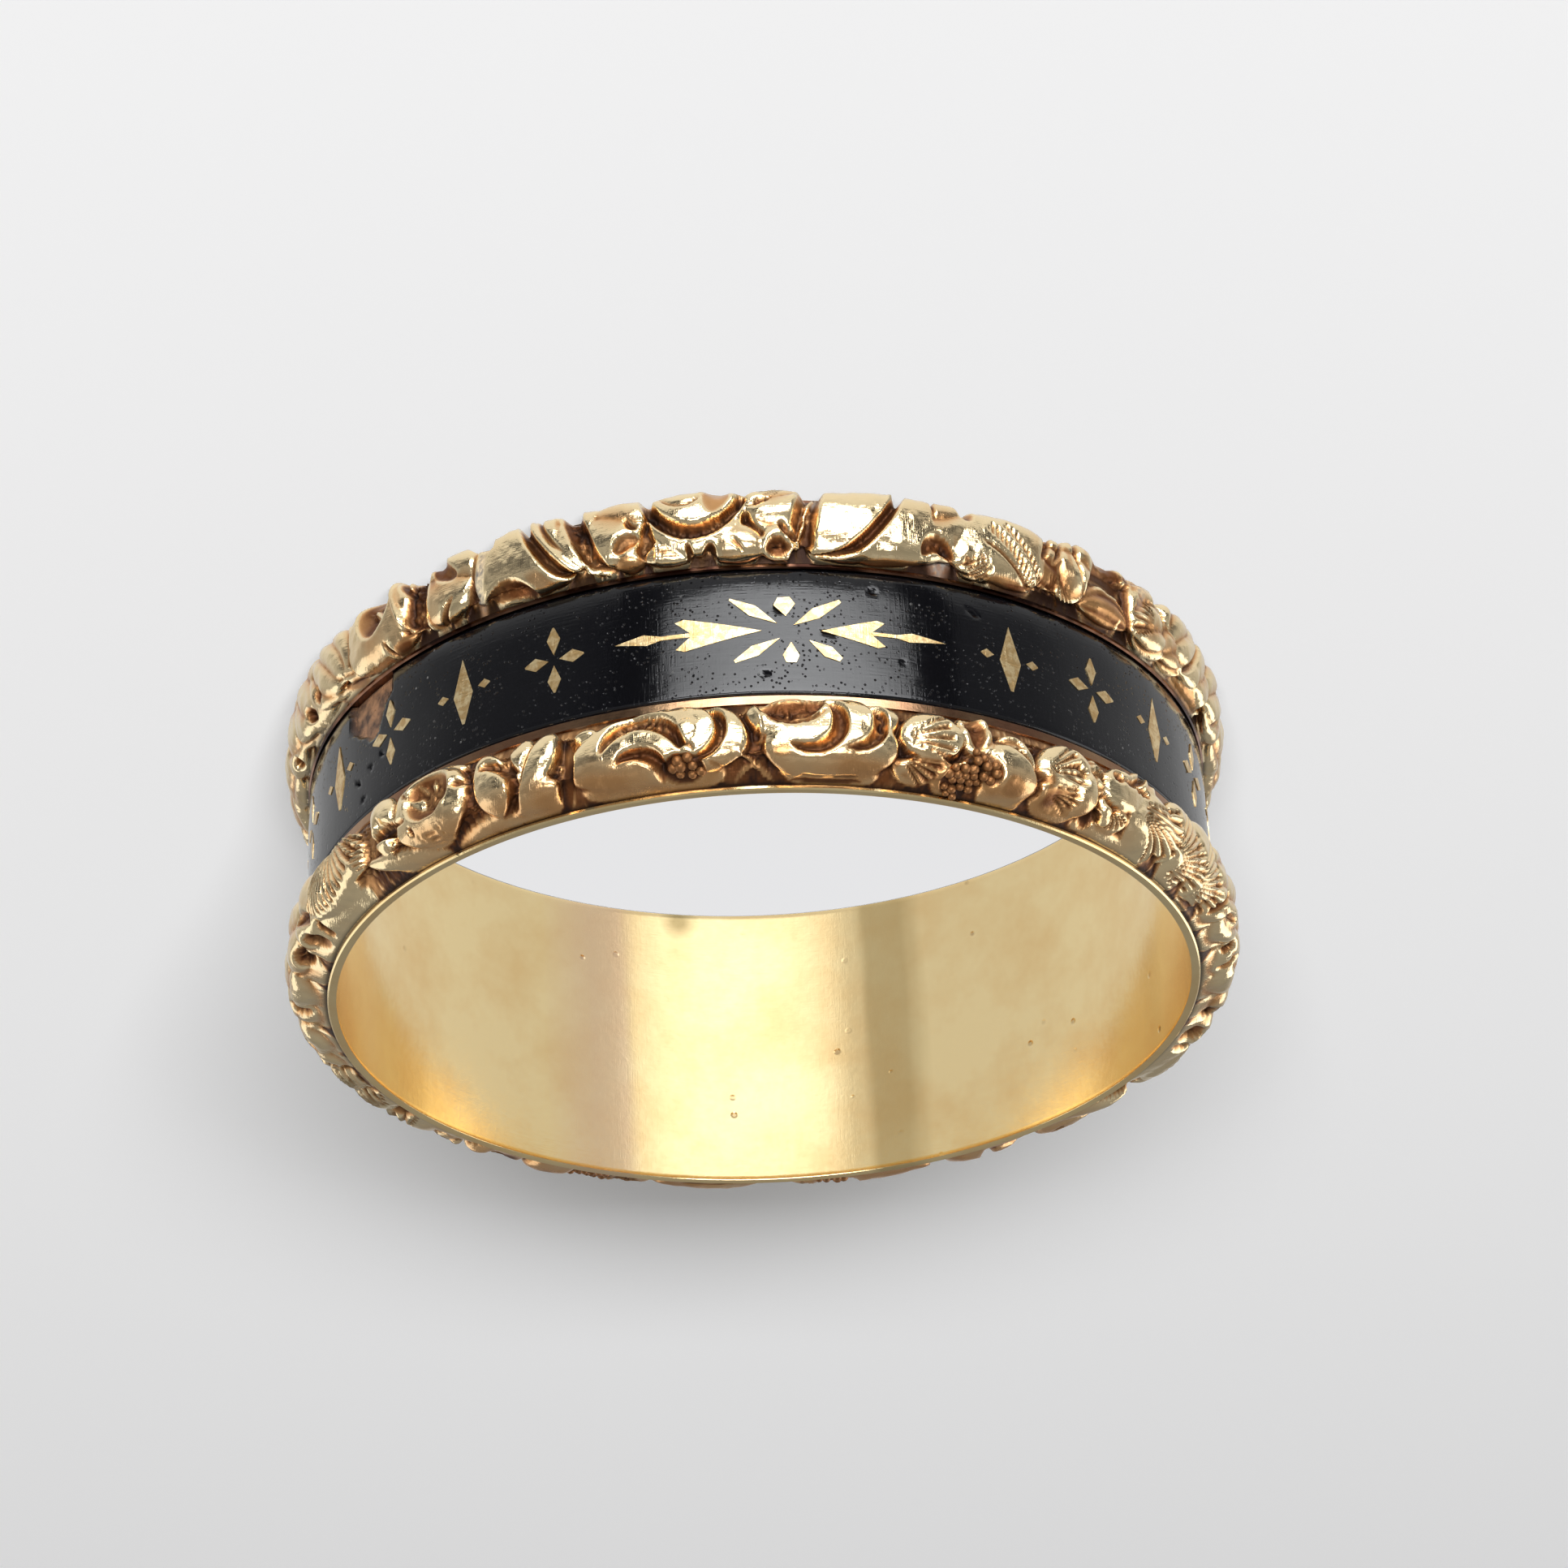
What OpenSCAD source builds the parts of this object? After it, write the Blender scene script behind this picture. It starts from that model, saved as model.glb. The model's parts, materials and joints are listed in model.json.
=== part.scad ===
// Mourning ring: a hollow gold band with two chased floral borders and, between
// them, a band of black enamel laid round gold figures that stand up from its bed.
// The ring lies on its side: Z runs along the finger hole, the origin is at the
// middle of the lower edge, and the star figure faces -Y. Millimetres throughout.

/* [Hoop] */
// Inner diameter of the finger hole
bore_d = 18; // [15:0.1:22]
// Width of the band along the finger
band_w = 6.7; // [6:0.1:9]
// Wall of the thin inner hoop, seen as a plain rim on both edges
hoop_wall = 0.2; // [0.18:0.01:0.4]

/* [Enamel] */
// Gold left under the enamel, over the inner hoop
bed_wall = 0.1; // [0.08:0.01:0.2]
// Depth of the enamel in its tray
enamel_t = 0.3; // [0.2:0.01:0.5]
// Clearance left all round the enamel
enamel_gap = 0.02; // [0.01:0.005:0.04]
// Depth of the chipped place at the enamel's lower edge
chip_t = 0.14; // [0.05:0.01:0.18]

/* [Borders] */
// Width of the upper border with its ledge, the one whose rim faces the eye
upper_border_w = 1.92; // [1.5:0.01:2.2]
// Width of the lower border with its ledge
lower_border_w = 1.86; // [1.5:0.01:2.2]
// Flat gold ledge between the enamel and each relief
ledge_w = 0.12; // [0.08:0.01:0.2]
// Height of the chased crests over the inner hoop
crest_h = 0.92; // [0.7:0.01:1.2]
// Depth of the recesses between the flowers, below the crests
recess_t = 0.34; // [0.1:0.01:0.4]
// Fullness of the borders' half round section: 2 is round, and more is squarer
fullness = 3.3; // [2:0.1:5]
// Setback of the relief from the edge of the inner hoop
rim_setback = 0.09; // [0.05:0.01:0.15]

/* [Gold figures] */
// Height of the star figure along the finger
star_h = 1.5; // [1:0.01:1.9]
// Height of the small lozenge and blossom figures
figure_h = 1.5; // [1:0.01:1.9]
// Number of small figures round the band, besides the star
figures = 24; // [12:1:28]

/* [Hidden] */
$fn = 180;
gold = [0.83, 0.66, 0.34];
black = [0.06, 0.06, 0.07];

bore_r = bore_d / 2;
seam_r = bore_r + hoop_wall;
bed_r = seam_r + bed_wall;
face_r = bed_r + enamel_t;
crest_r = seam_r + crest_h;
tray_lo = lower_border_w;
tray_hi = band_w - upper_border_w;
tray_mid = (tray_lo + tray_hi) / 2;
tray_w = tray_hi - tray_lo;
// How far hidden faces reach into the metal they are joined to
bite = hoop_wall / 2;

// How flat the crown of a flower is: 1 is a dome, and less is flatter
crown = 0.35;
// Sections of the relief round the ring, and points across its face
relief_sections = 216;
face_points = 9;
// The seen half of each border is charted, and the hidden half repeats it
chart_span = 180;

// Flowers, leaves and scrolls of the upper border. Angle and span are degrees
// round the ring from the star's side; across and reach are shares of the
// border's width from the rim; turn is in degrees; rise and hollow are shares
// of the recess depth.
// [angle, across, span, reach, turn, rise, hollow]
UPPER = [
    [-86, 0.45, 13, 0.95,   0, 0.85, 0.0],
    [-72, 0.40, 10, 0.95, -35, 0.90, 0.0],
    [-61, 0.40, 15, 0.95, -38, 0.95, 0.0],
    [-49, 0.62,  6, 0.75,  10, 0.95, 0.4],
    [-47, 0.16, 12, 0.28, -15, 0.90, 0.0],
    [-41, 0.55, 12, 0.95,   0, 1.00, 0.9],
    [-29, 0.40,  9, 1.00,  25, 0.95, 0.2],
    [-12, 0.45, 20, 1.05,   0, 1.00, 0.2],
    [  8, 0.48, 18, 1.10,   0, 1.00, 0.0],
    [ 21, 0.50,  8, 0.48,   8, 0.95, 0.0],
    [ 19, 0.18,  9, 0.34,  15, 0.70, 0.0],
    [ 27, 0.24,  7, 0.50,   0, 0.70, 0.0],
    [ 31, 0.40,  8, 0.85, -10, 1.00, 0.0],
    [ 39, 0.46, 10, 0.70,  20, 0.95, 0.3],
    [ 40, 0.14, 10, 0.30,   0, 0.80, 0.0],
    [ 49, 0.62,  9, 0.70,  30, 1.00, 0.5],
    [ 54, 0.32, 13, 0.60,  10, 0.95, 0.0],
    [ 64, 0.45, 12, 0.95,  30, 0.90, 0.0],
    [ 73, 0.45, 12, 0.95,  30, 0.95, 0.0],
    [ 84, 0.45, 13, 0.95,  15, 0.85, 0.0],
];

// Flowers, leaves and scrolls of the lower border, with the same columns
LOWER = [
    [-85, 0.45, 13, 0.95,   0, 0.85, 0.0],
    [-73, 0.45, 12, 0.95,  30, 0.90, 0.0],
    [-62, 0.45, 13, 0.95,  35, 0.95, 0.2],
    [-50, 0.45, 12, 1.00,   0, 1.00, 0.8],
    [-38, 0.45,  7, 1.00, -15, 0.95, 0.3],
    [-28, 0.42, 15, 1.05, -30, 1.00, 0.0],
    [-15, 0.45,  8, 1.00, -20, 1.00, 0.0],
    [ -6, 0.25, 11, 0.60,   0, 1.05, 0.3],
    [-10, 0.70,  8, 0.40, -10, 0.85, 0.0],
    [ -1, 0.68,  8, 0.45,  25, 0.85, 0.0],
    [  4, 0.30, 10, 0.60,  20, 1.00, 0.0],
    [  4, 0.62,  4, 0.35,   0, 0.85, 0.6],
    [ 16, 0.42, 19, 1.00,  25, 1.05, 0.0],
    [ 24, 0.25,  8, 0.60,   0, 0.95, 0.0],
    [ 32, 0.45, 13, 1.00, -35, 0.95, 0.0],
    [ 42, 0.40,  7, 0.90, -30, 1.00, 0.0],
    [ 48, 0.45,  9, 1.00,  10, 0.90, 0.5],
    [ 57, 0.42, 10, 0.95,  20, 0.95, 0.0],
    [ 68, 0.45, 13, 0.95,  30, 0.90, 0.0],
    [ 82, 0.45, 15, 0.95,  15, 0.90, 0.0],
];

// Deep cuts of the burin in the upper border. From and to are degrees, their
// across values shares of the width; bow is the cut's bend as a share of its
// length, wide a share of the border's width, deep a share of the recess depth.
// [from, from_across, to, to_across, bow, wide, deep]
UPPER_CUTS = [
    [-17.5, 0.48, -10, 0.35,  0.32, 0.16, 0.70],
    [-14.0, 0.36, -10, 0.14,  0.20, 0.14, 0.55],
    [ -7.0, 0.75,  -8, 0.28,  0.35, 0.14, 0.60],
    [  1.0, 0.78,   7, 0.75, -0.50, 0.20, 0.70],
    [  9.5, 0.72,   5, 0.38,  0.35, 0.14, 0.60],
    [ 14.0, 0.75,  11, 0.36,  0.25, 0.13, 0.55],
    [-32.0, 0.60, -31, 0.18,  0.30, 0.14, 0.60],
    [ 51.0, 0.85,  47, 0.60,  0.20, 0.12, 0.50],
];

// Deep cuts in the lower border, with the same columns
LOWER_CUTS = [
    [-27.0, 0.05, -17, 0.72,  0.12, 0.12, 0.60],
    [-21.0, 0.05, -15, 0.72,  0.10, 0.14, 0.60],
    [-32.0, 0.70, -26, 0.78, -0.40, 0.18, 0.60],
    [-11.0, 0.05,  -1, 0.15,  0.45, 0.14, 0.80],
    [ 19.5, 0.05,   8, 0.72, -0.14, 0.12, 0.60],
    [ 21.0, 0.60,  24, 0.60, -0.30, 0.12, 0.40],
    [ 46.0, 0.25,  52, 0.20, -0.30, 0.30, 0.70],
];

// Point at an angle round the ring, 0 at the star and growing clockwise from above
function around(angle, r, z) = [-r * sin(angle), -r * cos(angle), z];

// Angle folded into the charted half, -90 to 90
function charted(angle) = angle - chart_span * floor((angle + chart_span / 2) / chart_span);

// Half round face of a border of width w, [radius, height from its rim], by the
// share across it; the lift is 0 in a recess and 1 on a crest
function relief_w(w) = w - ledge_w / 2;
function face_mid(w) = relief_w(w) * 0.5;
function face_point(share, w, lift) =
    let (
        phi = 180 * share,
        mid = face_mid(w),
        top = crest_h - recess_t * (1 - lift),
        foot = (share < 0.5 ? 0 : enamel_t + bed_wall) - bite / 2,
        end = share < 0.5 ? rim_setback : relief_w(w),
        sink = rim_setback * (1 - lift),
        swell = pow(pow(abs(cos(phi)), fullness) + pow(sin(phi), fullness), -1 / fullness)
    )
    [
        seam_r + foot + (top - foot) * swell * sin(phi),
        mid + (end + (share < 0.5 ? sink : 0) - mid) * swell * abs(cos(phi))
    ];

// Raised flower or leaf: an oval dome with a dipped middle
function dome(row, angle, share, w) =
    let (
        along = (angle - row[0]) * PI / 180 * crest_r,
        up = (share - row[1]) * w,
        p = (along * cos(row[4]) + up * sin(row[4])) / (row[2] * PI / 180 * crest_r / 2),
        q = (up * cos(row[4]) - along * sin(row[4])) / (row[3] * w / 2),
        d = 1 - p * p - q * q
    )
    d <= 0 ? 0 : row[5] * (pow(d, crown) - row[6] * pow(d, 2));

// Depth of a bowed cut, full along its middle and running out at both ends
function cut(row, angle, share, w) =
    let (
        reach = (row[2] - row[0]) * PI / 180 * crest_r,
        climb = (row[3] - row[1]) * w,
        long = norm([reach, climb]),
        along = (angle - row[0]) * PI / 180 * crest_r,
        up = (share - row[1]) * w,
        p = (along * reach + up * climb) / (long * long),
        q = (up * reach - along * climb) / long,
        bend = 4 * row[4] * long * p * (1 - p),
        off = abs(q - bend) / (row[5] * w / 2)
    )
    p <= 0 || p >= 1 || off >= 1 ? 0 : row[6] * (1 - off * off) * sqrt(4 * p * (1 - p));

function lift(flowers, cuts, angle, share, w) =
    let (
        a = charted(angle),
        raised = max([for (row = flowers) dome(row, a, share, w)]),
        cut_in = max([for (row = cuts) cut(row, a, share, w)])
    )
    max(0, raised - cut_in);

// Section through a border, its face first and then the hidden faces
function section(flowers, cuts, angle, w) =
    let (
        face = [
            for (k = [0 : face_points - 1])
                let (share = k / (face_points - 1))
                face_point(share, w, lift(flowers, cuts, angle, share, w))
        ],
        first = face[0],
        last = face[face_points - 1]
    )
    concat(face, [[seam_r - bite, last[1]], [seam_r - bite, first[1]]]);

// Chased border as one closed ring, seated in the hoop; its rim is at z = 0
module relief(flowers, cuts, w) {
    rings = [
        for (i = [0 : relief_sections - 1])
            section(flowers, cuts, 360 * i / relief_sections, w)
    ];
    side = len(rings[0]);
    points = [
        for (i = [0 : relief_sections - 1], p = rings[i])
            around(360 * i / relief_sections, p[0], p[1])
    ];
    faces = [
        for (i = [0 : relief_sections - 1], j = [0 : side - 1])
            let (
                i2 = (i + 1) % relief_sections,
                j2 = (j + 1) % side,
                a = i * side + j,
                b = i * side + j2,
                c = i2 * side + j2,
                d = i2 * side + j
            )
            each [[a, c, b], [a, d, c]]
    ];
    polyhedron(points, faces);
}

// Plain ring of rectangular section
module hoop(r_in, r_out, lo, hi) {
    rotate_extrude()
        translate([r_in, lo])
            square([r_out - r_in, hi - lo]);
}

// Upright plate at an angle round the ring. It is drawn flat: x runs the way the
// angle grows, and y towards the lower edge.
module plate(angle, r_in, r_out, grow) {
    rotate([0, 0, -angle])
        translate([0, -r_in, tray_mid])
            rotate([90, 0, 0])
                rotate([0, 0, 180])
                    linear_extrude(r_out - r_in)
                        offset(delta = grow)
                            children();
}

// Petal from its tip to its end, widest at a share of its length; blunt is the
// width left at its end, as a share of the widest
module petal(tip, end, wide, shoulder, blunt) {
    along = end - tip;
    side = [-along[1], along[0]] / norm(along) * wide / 2;
    knee = tip + along * shoulder;
    polygon([tip, knee + side, end + side * blunt, end - side * blunt, knee - side]);
}

// Arrow of the star figure: head with its tip at x = 0 and its two barbs at a
// share of the length, tail along +x ending in a long lozenge
module arrow(long, high, barb) {
    stem = 0.06 * high;
    polygon([
        [0, 0],
        [(barb - 0.06) * long, 0.5 * high],
        [barb * long, 0.42 * high],
        [(barb - 0.10) * long, stem],
        [(barb + 0.10) * long, stem],
        [(barb + 0.22) * long, 0.18 * high],
        [long, 0],
        [(barb + 0.20) * long, -0.16 * high],
        [(barb + 0.10) * long, -stem],
        [(barb - 0.10) * long, -stem],
        [barb * long, -0.42 * high],
        [(barb - 0.06) * long, -0.5 * high],
    ]);
}

// Petals of the star figure, in shares of its height from its centre
// [tip_x, tip_y, end_x, end_y, wide, shoulder, blunt]
STAR_PETALS = [
    [ 0.00,  0.22, -0.02,  0.51, 0.29, 0.62, 0.55],
    [ 0.06, -0.18,  0.05, -0.49, 0.22, 0.65, 0.60],
    [-0.12,  0.11, -0.74,  0.50, 0.17, 0.52, 0.15],
    [ 0.10,  0.08,  0.74,  0.47, 0.17, 0.48, 0.30],
    [-0.09, -0.12, -0.70, -0.46, 0.17, 0.55, 0.25],
    [ 0.30, -0.15,  0.72, -0.43, 0.18, 0.60, 0.40],
];
// Arrows of the star figure, in shares of its height
// [side, tip_x, long, high, barb]
STAR_ARROWS = [
    [ 1, 0.47, 1.73, 0.42, 0.50],
    [-1, 0.33, 1.98, 0.49, 0.58],
];

// Shape of the star figure with the given number
module star(part) {
    petals = len(STAR_PETALS);
    if (part < petals) {
        row = STAR_PETALS[part] * star_h;
        share = STAR_PETALS[part];
        petal([row[0], row[1]], [row[2], row[3]], row[4], share[5], share[6]);
    } else {
        row = STAR_ARROWS[part - petals];
        mirror([row[0] < 0 ? 1 : 0, 0])
            translate([row[1] * star_h, 0])
                arrow(row[2] * star_h, row[3] * star_h, row[4]);
    }
}
star_parts = len(STAR_PETALS) + len(STAR_ARROWS);
star_angle = 4.3;
star_half_span = 22;

// Small figures that fill the rest of the band, in shares of their height from
// their centre: a tall lozenge with a pip at each side, and a four leaved blossom
// [tip_x, tip_y, end_x, end_y, wide]
LOZENGE = [
    [ 0.00,  0.50,  0.00, -0.50, 0.34],
    [ 0.26,  0.00,  0.46,  0.00, 0.14],
    [-0.26,  0.00, -0.46,  0.00, 0.14],
];
BLOSSOM = [
    [ 0.00,  0.08,  0.00,  0.50, 0.20],
    [ 0.00, -0.08,  0.00, -0.50, 0.20],
    [ 0.08,  0.00,  0.44,  0.00, 0.20],
    [-0.08,  0.00, -0.44,  0.00, 0.20],
];
module small_figure(odd, part) {
    row = (odd ? BLOSSOM : LOZENGE)[part] * figure_h;
    petal([row[0], row[1]], [row[2], row[3]], row[4], 0.55, 0);
}

// All gold figures as plates between two radii, each grown by a clearance
module figures_between(r_in, r_out, grow) {
    for (k = [0 : star_parts - 1])
        plate(star_angle, r_in, r_out, grow) star(k);
    first = star_angle + star_half_span;
    step = (360 - 2 * star_half_span) / figures;
    for (i = [0 : figures - 1])
        for (k = [0 : len(i % 2 == 1 ? BLOSSOM : LOZENGE) - 1])
            plate(first + step * (i + 0.5), r_in, r_out, grow) small_figure(i % 2 == 1, k);
}

// Chipped place where the enamel has come away beside the lower border
chip_angle = -54.5;
module chip() {
    deep = face_r - chip_t;
    w = tray_w;
    rotate([0, 0, -chip_angle])
        translate([0, -deep, tray_lo])
            rotate([90, 0, 0])
                linear_extrude(chip_t * 3)
                    polygon([
                        [-0.22 * w, -0.1 * w],
                        [-0.26 * w, 0.24 * w],
                        [-0.08 * w, 0.40 * w],
                        [0.05 * w, 0.52 * w],
                        [0.14 * w, 0.30 * w],
                        [0.26 * w, 0.22 * w],
                        [0.20 * w, -0.1 * w],
                    ]);
}

// Inner hoop with the tray for the enamel, turned in one profile
module tray() {
    rotate_extrude()
        polygon([
            [bore_r, 0],
            [seam_r, 0],
            [seam_r, tray_lo - ledge_w],
            [face_r, tray_lo - ledge_w],
            [face_r, tray_lo],
            [bed_r, tray_lo],
            [bed_r, tray_hi],
            [face_r, tray_hi],
            [face_r, tray_hi + ledge_w],
            [seam_r, tray_hi + ledge_w],
            [seam_r, band_w],
            [bore_r, band_w],
        ]);
}

// Soldered gold: inner hoop, tray with its two ledges, borders and figures
module gold_ring() {
    color(gold) {
        tray();
        relief(LOWER, LOWER_CUTS, lower_border_w);
        translate([0, 0, band_w])
            mirror([0, 0, 1])
                relief(UPPER, UPPER_CUTS, upper_border_w);
        intersection() {
            hoop(seam_r - bite, face_r, tray_lo - bite, tray_hi + bite);
            figures_between(bore_r, face_r + enamel_t, 0);
        }
    }
}

// Black enamel band, with a window round each gold figure
module enamel_band() {
    color(black)
        difference() {
            hoop(bed_r + enamel_gap, face_r, tray_lo + enamel_gap, tray_hi - enamel_gap);
            figures_between(seam_r, face_r + enamel_t, enamel_gap);
            chip();
        }
}

gold_ring();
enamel_band();
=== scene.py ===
"""Mourning ring: the looks of a hollow gold band with chased borders and black enamel."""
import json
import logging
import math
from dataclasses import dataclass, field
from enum import Enum

import bmesh
import bpy
import numpy as np
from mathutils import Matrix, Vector


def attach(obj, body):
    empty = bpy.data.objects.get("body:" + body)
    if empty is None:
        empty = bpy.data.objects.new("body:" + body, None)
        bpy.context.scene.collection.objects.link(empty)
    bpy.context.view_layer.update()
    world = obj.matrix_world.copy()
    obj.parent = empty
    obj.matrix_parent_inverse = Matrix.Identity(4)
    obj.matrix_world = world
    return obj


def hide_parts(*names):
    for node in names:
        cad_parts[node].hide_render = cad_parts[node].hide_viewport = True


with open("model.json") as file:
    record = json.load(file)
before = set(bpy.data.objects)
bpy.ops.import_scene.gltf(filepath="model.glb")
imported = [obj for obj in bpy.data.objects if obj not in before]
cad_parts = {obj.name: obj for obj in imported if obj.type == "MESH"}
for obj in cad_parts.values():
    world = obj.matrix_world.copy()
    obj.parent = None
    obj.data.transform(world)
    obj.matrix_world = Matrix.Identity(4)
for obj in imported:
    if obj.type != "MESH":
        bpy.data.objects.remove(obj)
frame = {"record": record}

log = logging.getLogger("mourning_ring")
MM = 0.001
RAD = math.pi / 180
Colour = tuple[float, float, float]
Socket = bpy.types.NodeSocket
Grid = np.ndarray
Outline = list[tuple[float, float]]


class Side(Enum):
    """The two borders of the band; the upper one is nearer the eye."""

    UPPER = "upper"
    LOWER = "lower"


@dataclass(frozen=True)
class RingSizes:
    """Sizes of the ring in millimetres, the same as in the part's source.

    Args:
        bore_r: radius of the finger hole.
        band_w: width of the band along the finger.
        hoop_wall: wall of the inner hoop.
        bed_wall: gold left under the enamel, over the inner hoop.
        enamel_t: depth of the enamel in its tray.
        upper_border_w: width of the upper border with its ledge.
        lower_border_w: width of the lower border with its ledge.
        ledge_w: flat gold ledge between the enamel and each relief.
        crest_h: height of the chased crests over the inner hoop.
        fullness: how square the borders' half round section is; 2 is round.
        recess_t: depth of the recesses between the flowers.
        rim_setback: plain strip of the hoop beside the relief.
        star_h: height of the star figure along the finger.
        figure_h: height of the small figures.
        figures: number of small figures round the band.
        star_angle: place of the star, in degrees round the ring.
        star_half_span: half of the span kept free for the star, in degrees.
    """

    bore_r: float
    band_w: float
    hoop_wall: float = 0.2
    bed_wall: float = 0.1
    enamel_t: float = 0.3
    upper_border_w: float = 1.92
    lower_border_w: float = 1.86
    ledge_w: float = 0.12
    crest_h: float = 0.92
    fullness: float = 3.3
    recess_t: float = 0.34
    rim_setback: float = 0.09
    star_h: float = 1.5
    figure_h: float = 1.5
    figures: int = 24
    star_angle: float = 4.3
    star_half_span: float = 22.0

    @property
    def seam_r(self) -> float:
        """Outer radius of the inner hoop."""
        return self.bore_r + self.hoop_wall

    @property
    def bed_r(self) -> float:
        """Radius of the bed under the enamel."""
        return self.seam_r + self.bed_wall

    @property
    def face_r(self) -> float:
        """Radius of the enamel's face."""
        return self.bed_r + self.enamel_t

    @property
    def tray_lo(self) -> float:
        """Lower edge of the enamel."""
        return self.lower_border_w

    @property
    def tray_hi(self) -> float:
        """Upper edge of the enamel."""
        return self.band_w - self.upper_border_w

    @property
    def tray_mid(self) -> float:
        """Middle of the enamel."""
        return (self.tray_lo + self.tray_hi) / 2

    @classmethod
    def from_record(cls, record: dict) -> "RingSizes":
        """Takes the finger hole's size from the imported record."""
        hole = next(m for m in record["mounts"] if m["name"] == "finger_hole")
        return cls(bore_r=hole["dims"]["r_mm"], band_w=hole["dims"]["length_mm"])


# Chased ornament. Angles and spans are degrees round the ring, growing to the
# right of the picture; across, reach and wide are shares of the border's face,
# counted from its rim; turns and directions are degrees, counter-clockwise in
# the picture; tops and depths are shares of the recess depth.


@dataclass(frozen=True)
class Patch:
    """Oval place on a border's face.

    Args:
        angle: place of its middle round the ring.
        across: place of its middle across the border.
        span: its length.
        reach: its width.
        turn: how far its length is turned.
    """

    angle: float
    across: float
    span: float
    reach: float
    turn: float = 0.0


@dataclass(frozen=True)
class Stroke:
    """Line from one place on a border's face to another.

    Args:
        angle: place of its start round the ring.
        across: place of its start across the border.
        to_angle: place of its end round the ring.
        to_across: place of its end across the border.
    """

    angle: float
    across: float
    to_angle: float
    to_across: float


@dataclass(frozen=True)
class Pad(Patch):
    """Raised body of a flower, leaf or scroll, standing on the sunk ground.

    Args:
        top: height of its crown.
        point: how pointed its ends are; 0 is round.
        bend: how far its middle is pushed sideways, as a share of its half width.
        dish: depth of the hollow in its crown.
        wall: how steep its sides are; small is steep.
        stain: share of tarnish on it.
        veins: number of veins cut along it.
    """

    top: float = 1.0
    point: float = 0.0
    bend: float = 0.0
    dish: float = 0.0
    wall: float = 0.3
    stain: float = 0.0
    veins: int = 0


@dataclass(frozen=True)
class Cut(Stroke):
    """Groove or crescent of the burin from one point to another along an arc.

    Args:
        bow: rise of the arc as a share of its chord, to the left if above 0.
        wide: width of the groove.
        deep: its depth; below 0 it is a raised rib.
        lean: how much steeper one wall is, the left one if above 0.
        stain: share of tarnish on its floor.
        taper: how early it narrows towards its ends.
        fat: place of its widest part; below 1 it is nearer the start.
        lip: height of the burr beside it.
    """

    bow: float = 0.0
    wide: float = 0.1
    deep: float = 0.5
    lean: float = 0.0
    stain: float = 0.5
    taper: float = 0.5
    fat: float = 1.0
    lip: float = 0.05


@dataclass(frozen=True)
class Fan:
    """Flutes that spread from a hub over a sector.

    Args:
        angle: place of the hub round the ring.
        across: place of the hub across the border.
        inner: radius at which the flutes start, in millimetres.
        outer: radius at which they end, in millimetres.
        start: direction in which the sector starts.
        end: direction in which it ends.
        count: number of flutes.
        deep: depth of the grooves between them.
        stain: share of tarnish in the grooves.
    """

    angle: float
    across: float
    inner: float
    outer: float
    start: float
    end: float
    count: int
    deep: float = 0.2
    stain: float = 0.3


@dataclass(frozen=True)
class Hatch(Stroke):
    """Short parallel strokes along a spine.

    Args:
        wide: length of the strokes.
        count: number of strokes.
        slant: how far the strokes slant, in strokes.
        deep: depth of the strokes.
        stain: share of tarnish in them.
        bow: rise of the spine as a share of its chord.
    """

    wide: float
    count: int
    slant: float = 0.0
    deep: float = 0.2
    stain: float = 0.3
    bow: float = 0.0


@dataclass(frozen=True)
class Pit(Patch):
    """Round or oval hollow.

    Args:
        deep: its depth; below 0 it is a raised knob.
        stain: share of tarnish on its floor.
        steep: how steep its walls are.
    """

    deep: float = 0.8
    stain: float = 0.8
    steep: float = 4.0


@dataclass(frozen=True)
class Berries(Patch):
    """Patch of small round berries on a sunk ground.

    Args:
        size: spacing of the berries and diameter of the largest, in millimetres.
        deep: depth of the ground under the berries.
        stain: share of tarnish on that ground.
    """

    size: float = 0.1
    deep: float = 0.45
    stain: float = 0.95


@dataclass(frozen=True)
class Tarnish(Patch):
    """Patch of colour only: brown tarnish, or grey residue.

    Args:
        stain: share of tarnish.
        grey: share of residue.
    """

    stain: float = 0.5
    grey: float = 0.0


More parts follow.
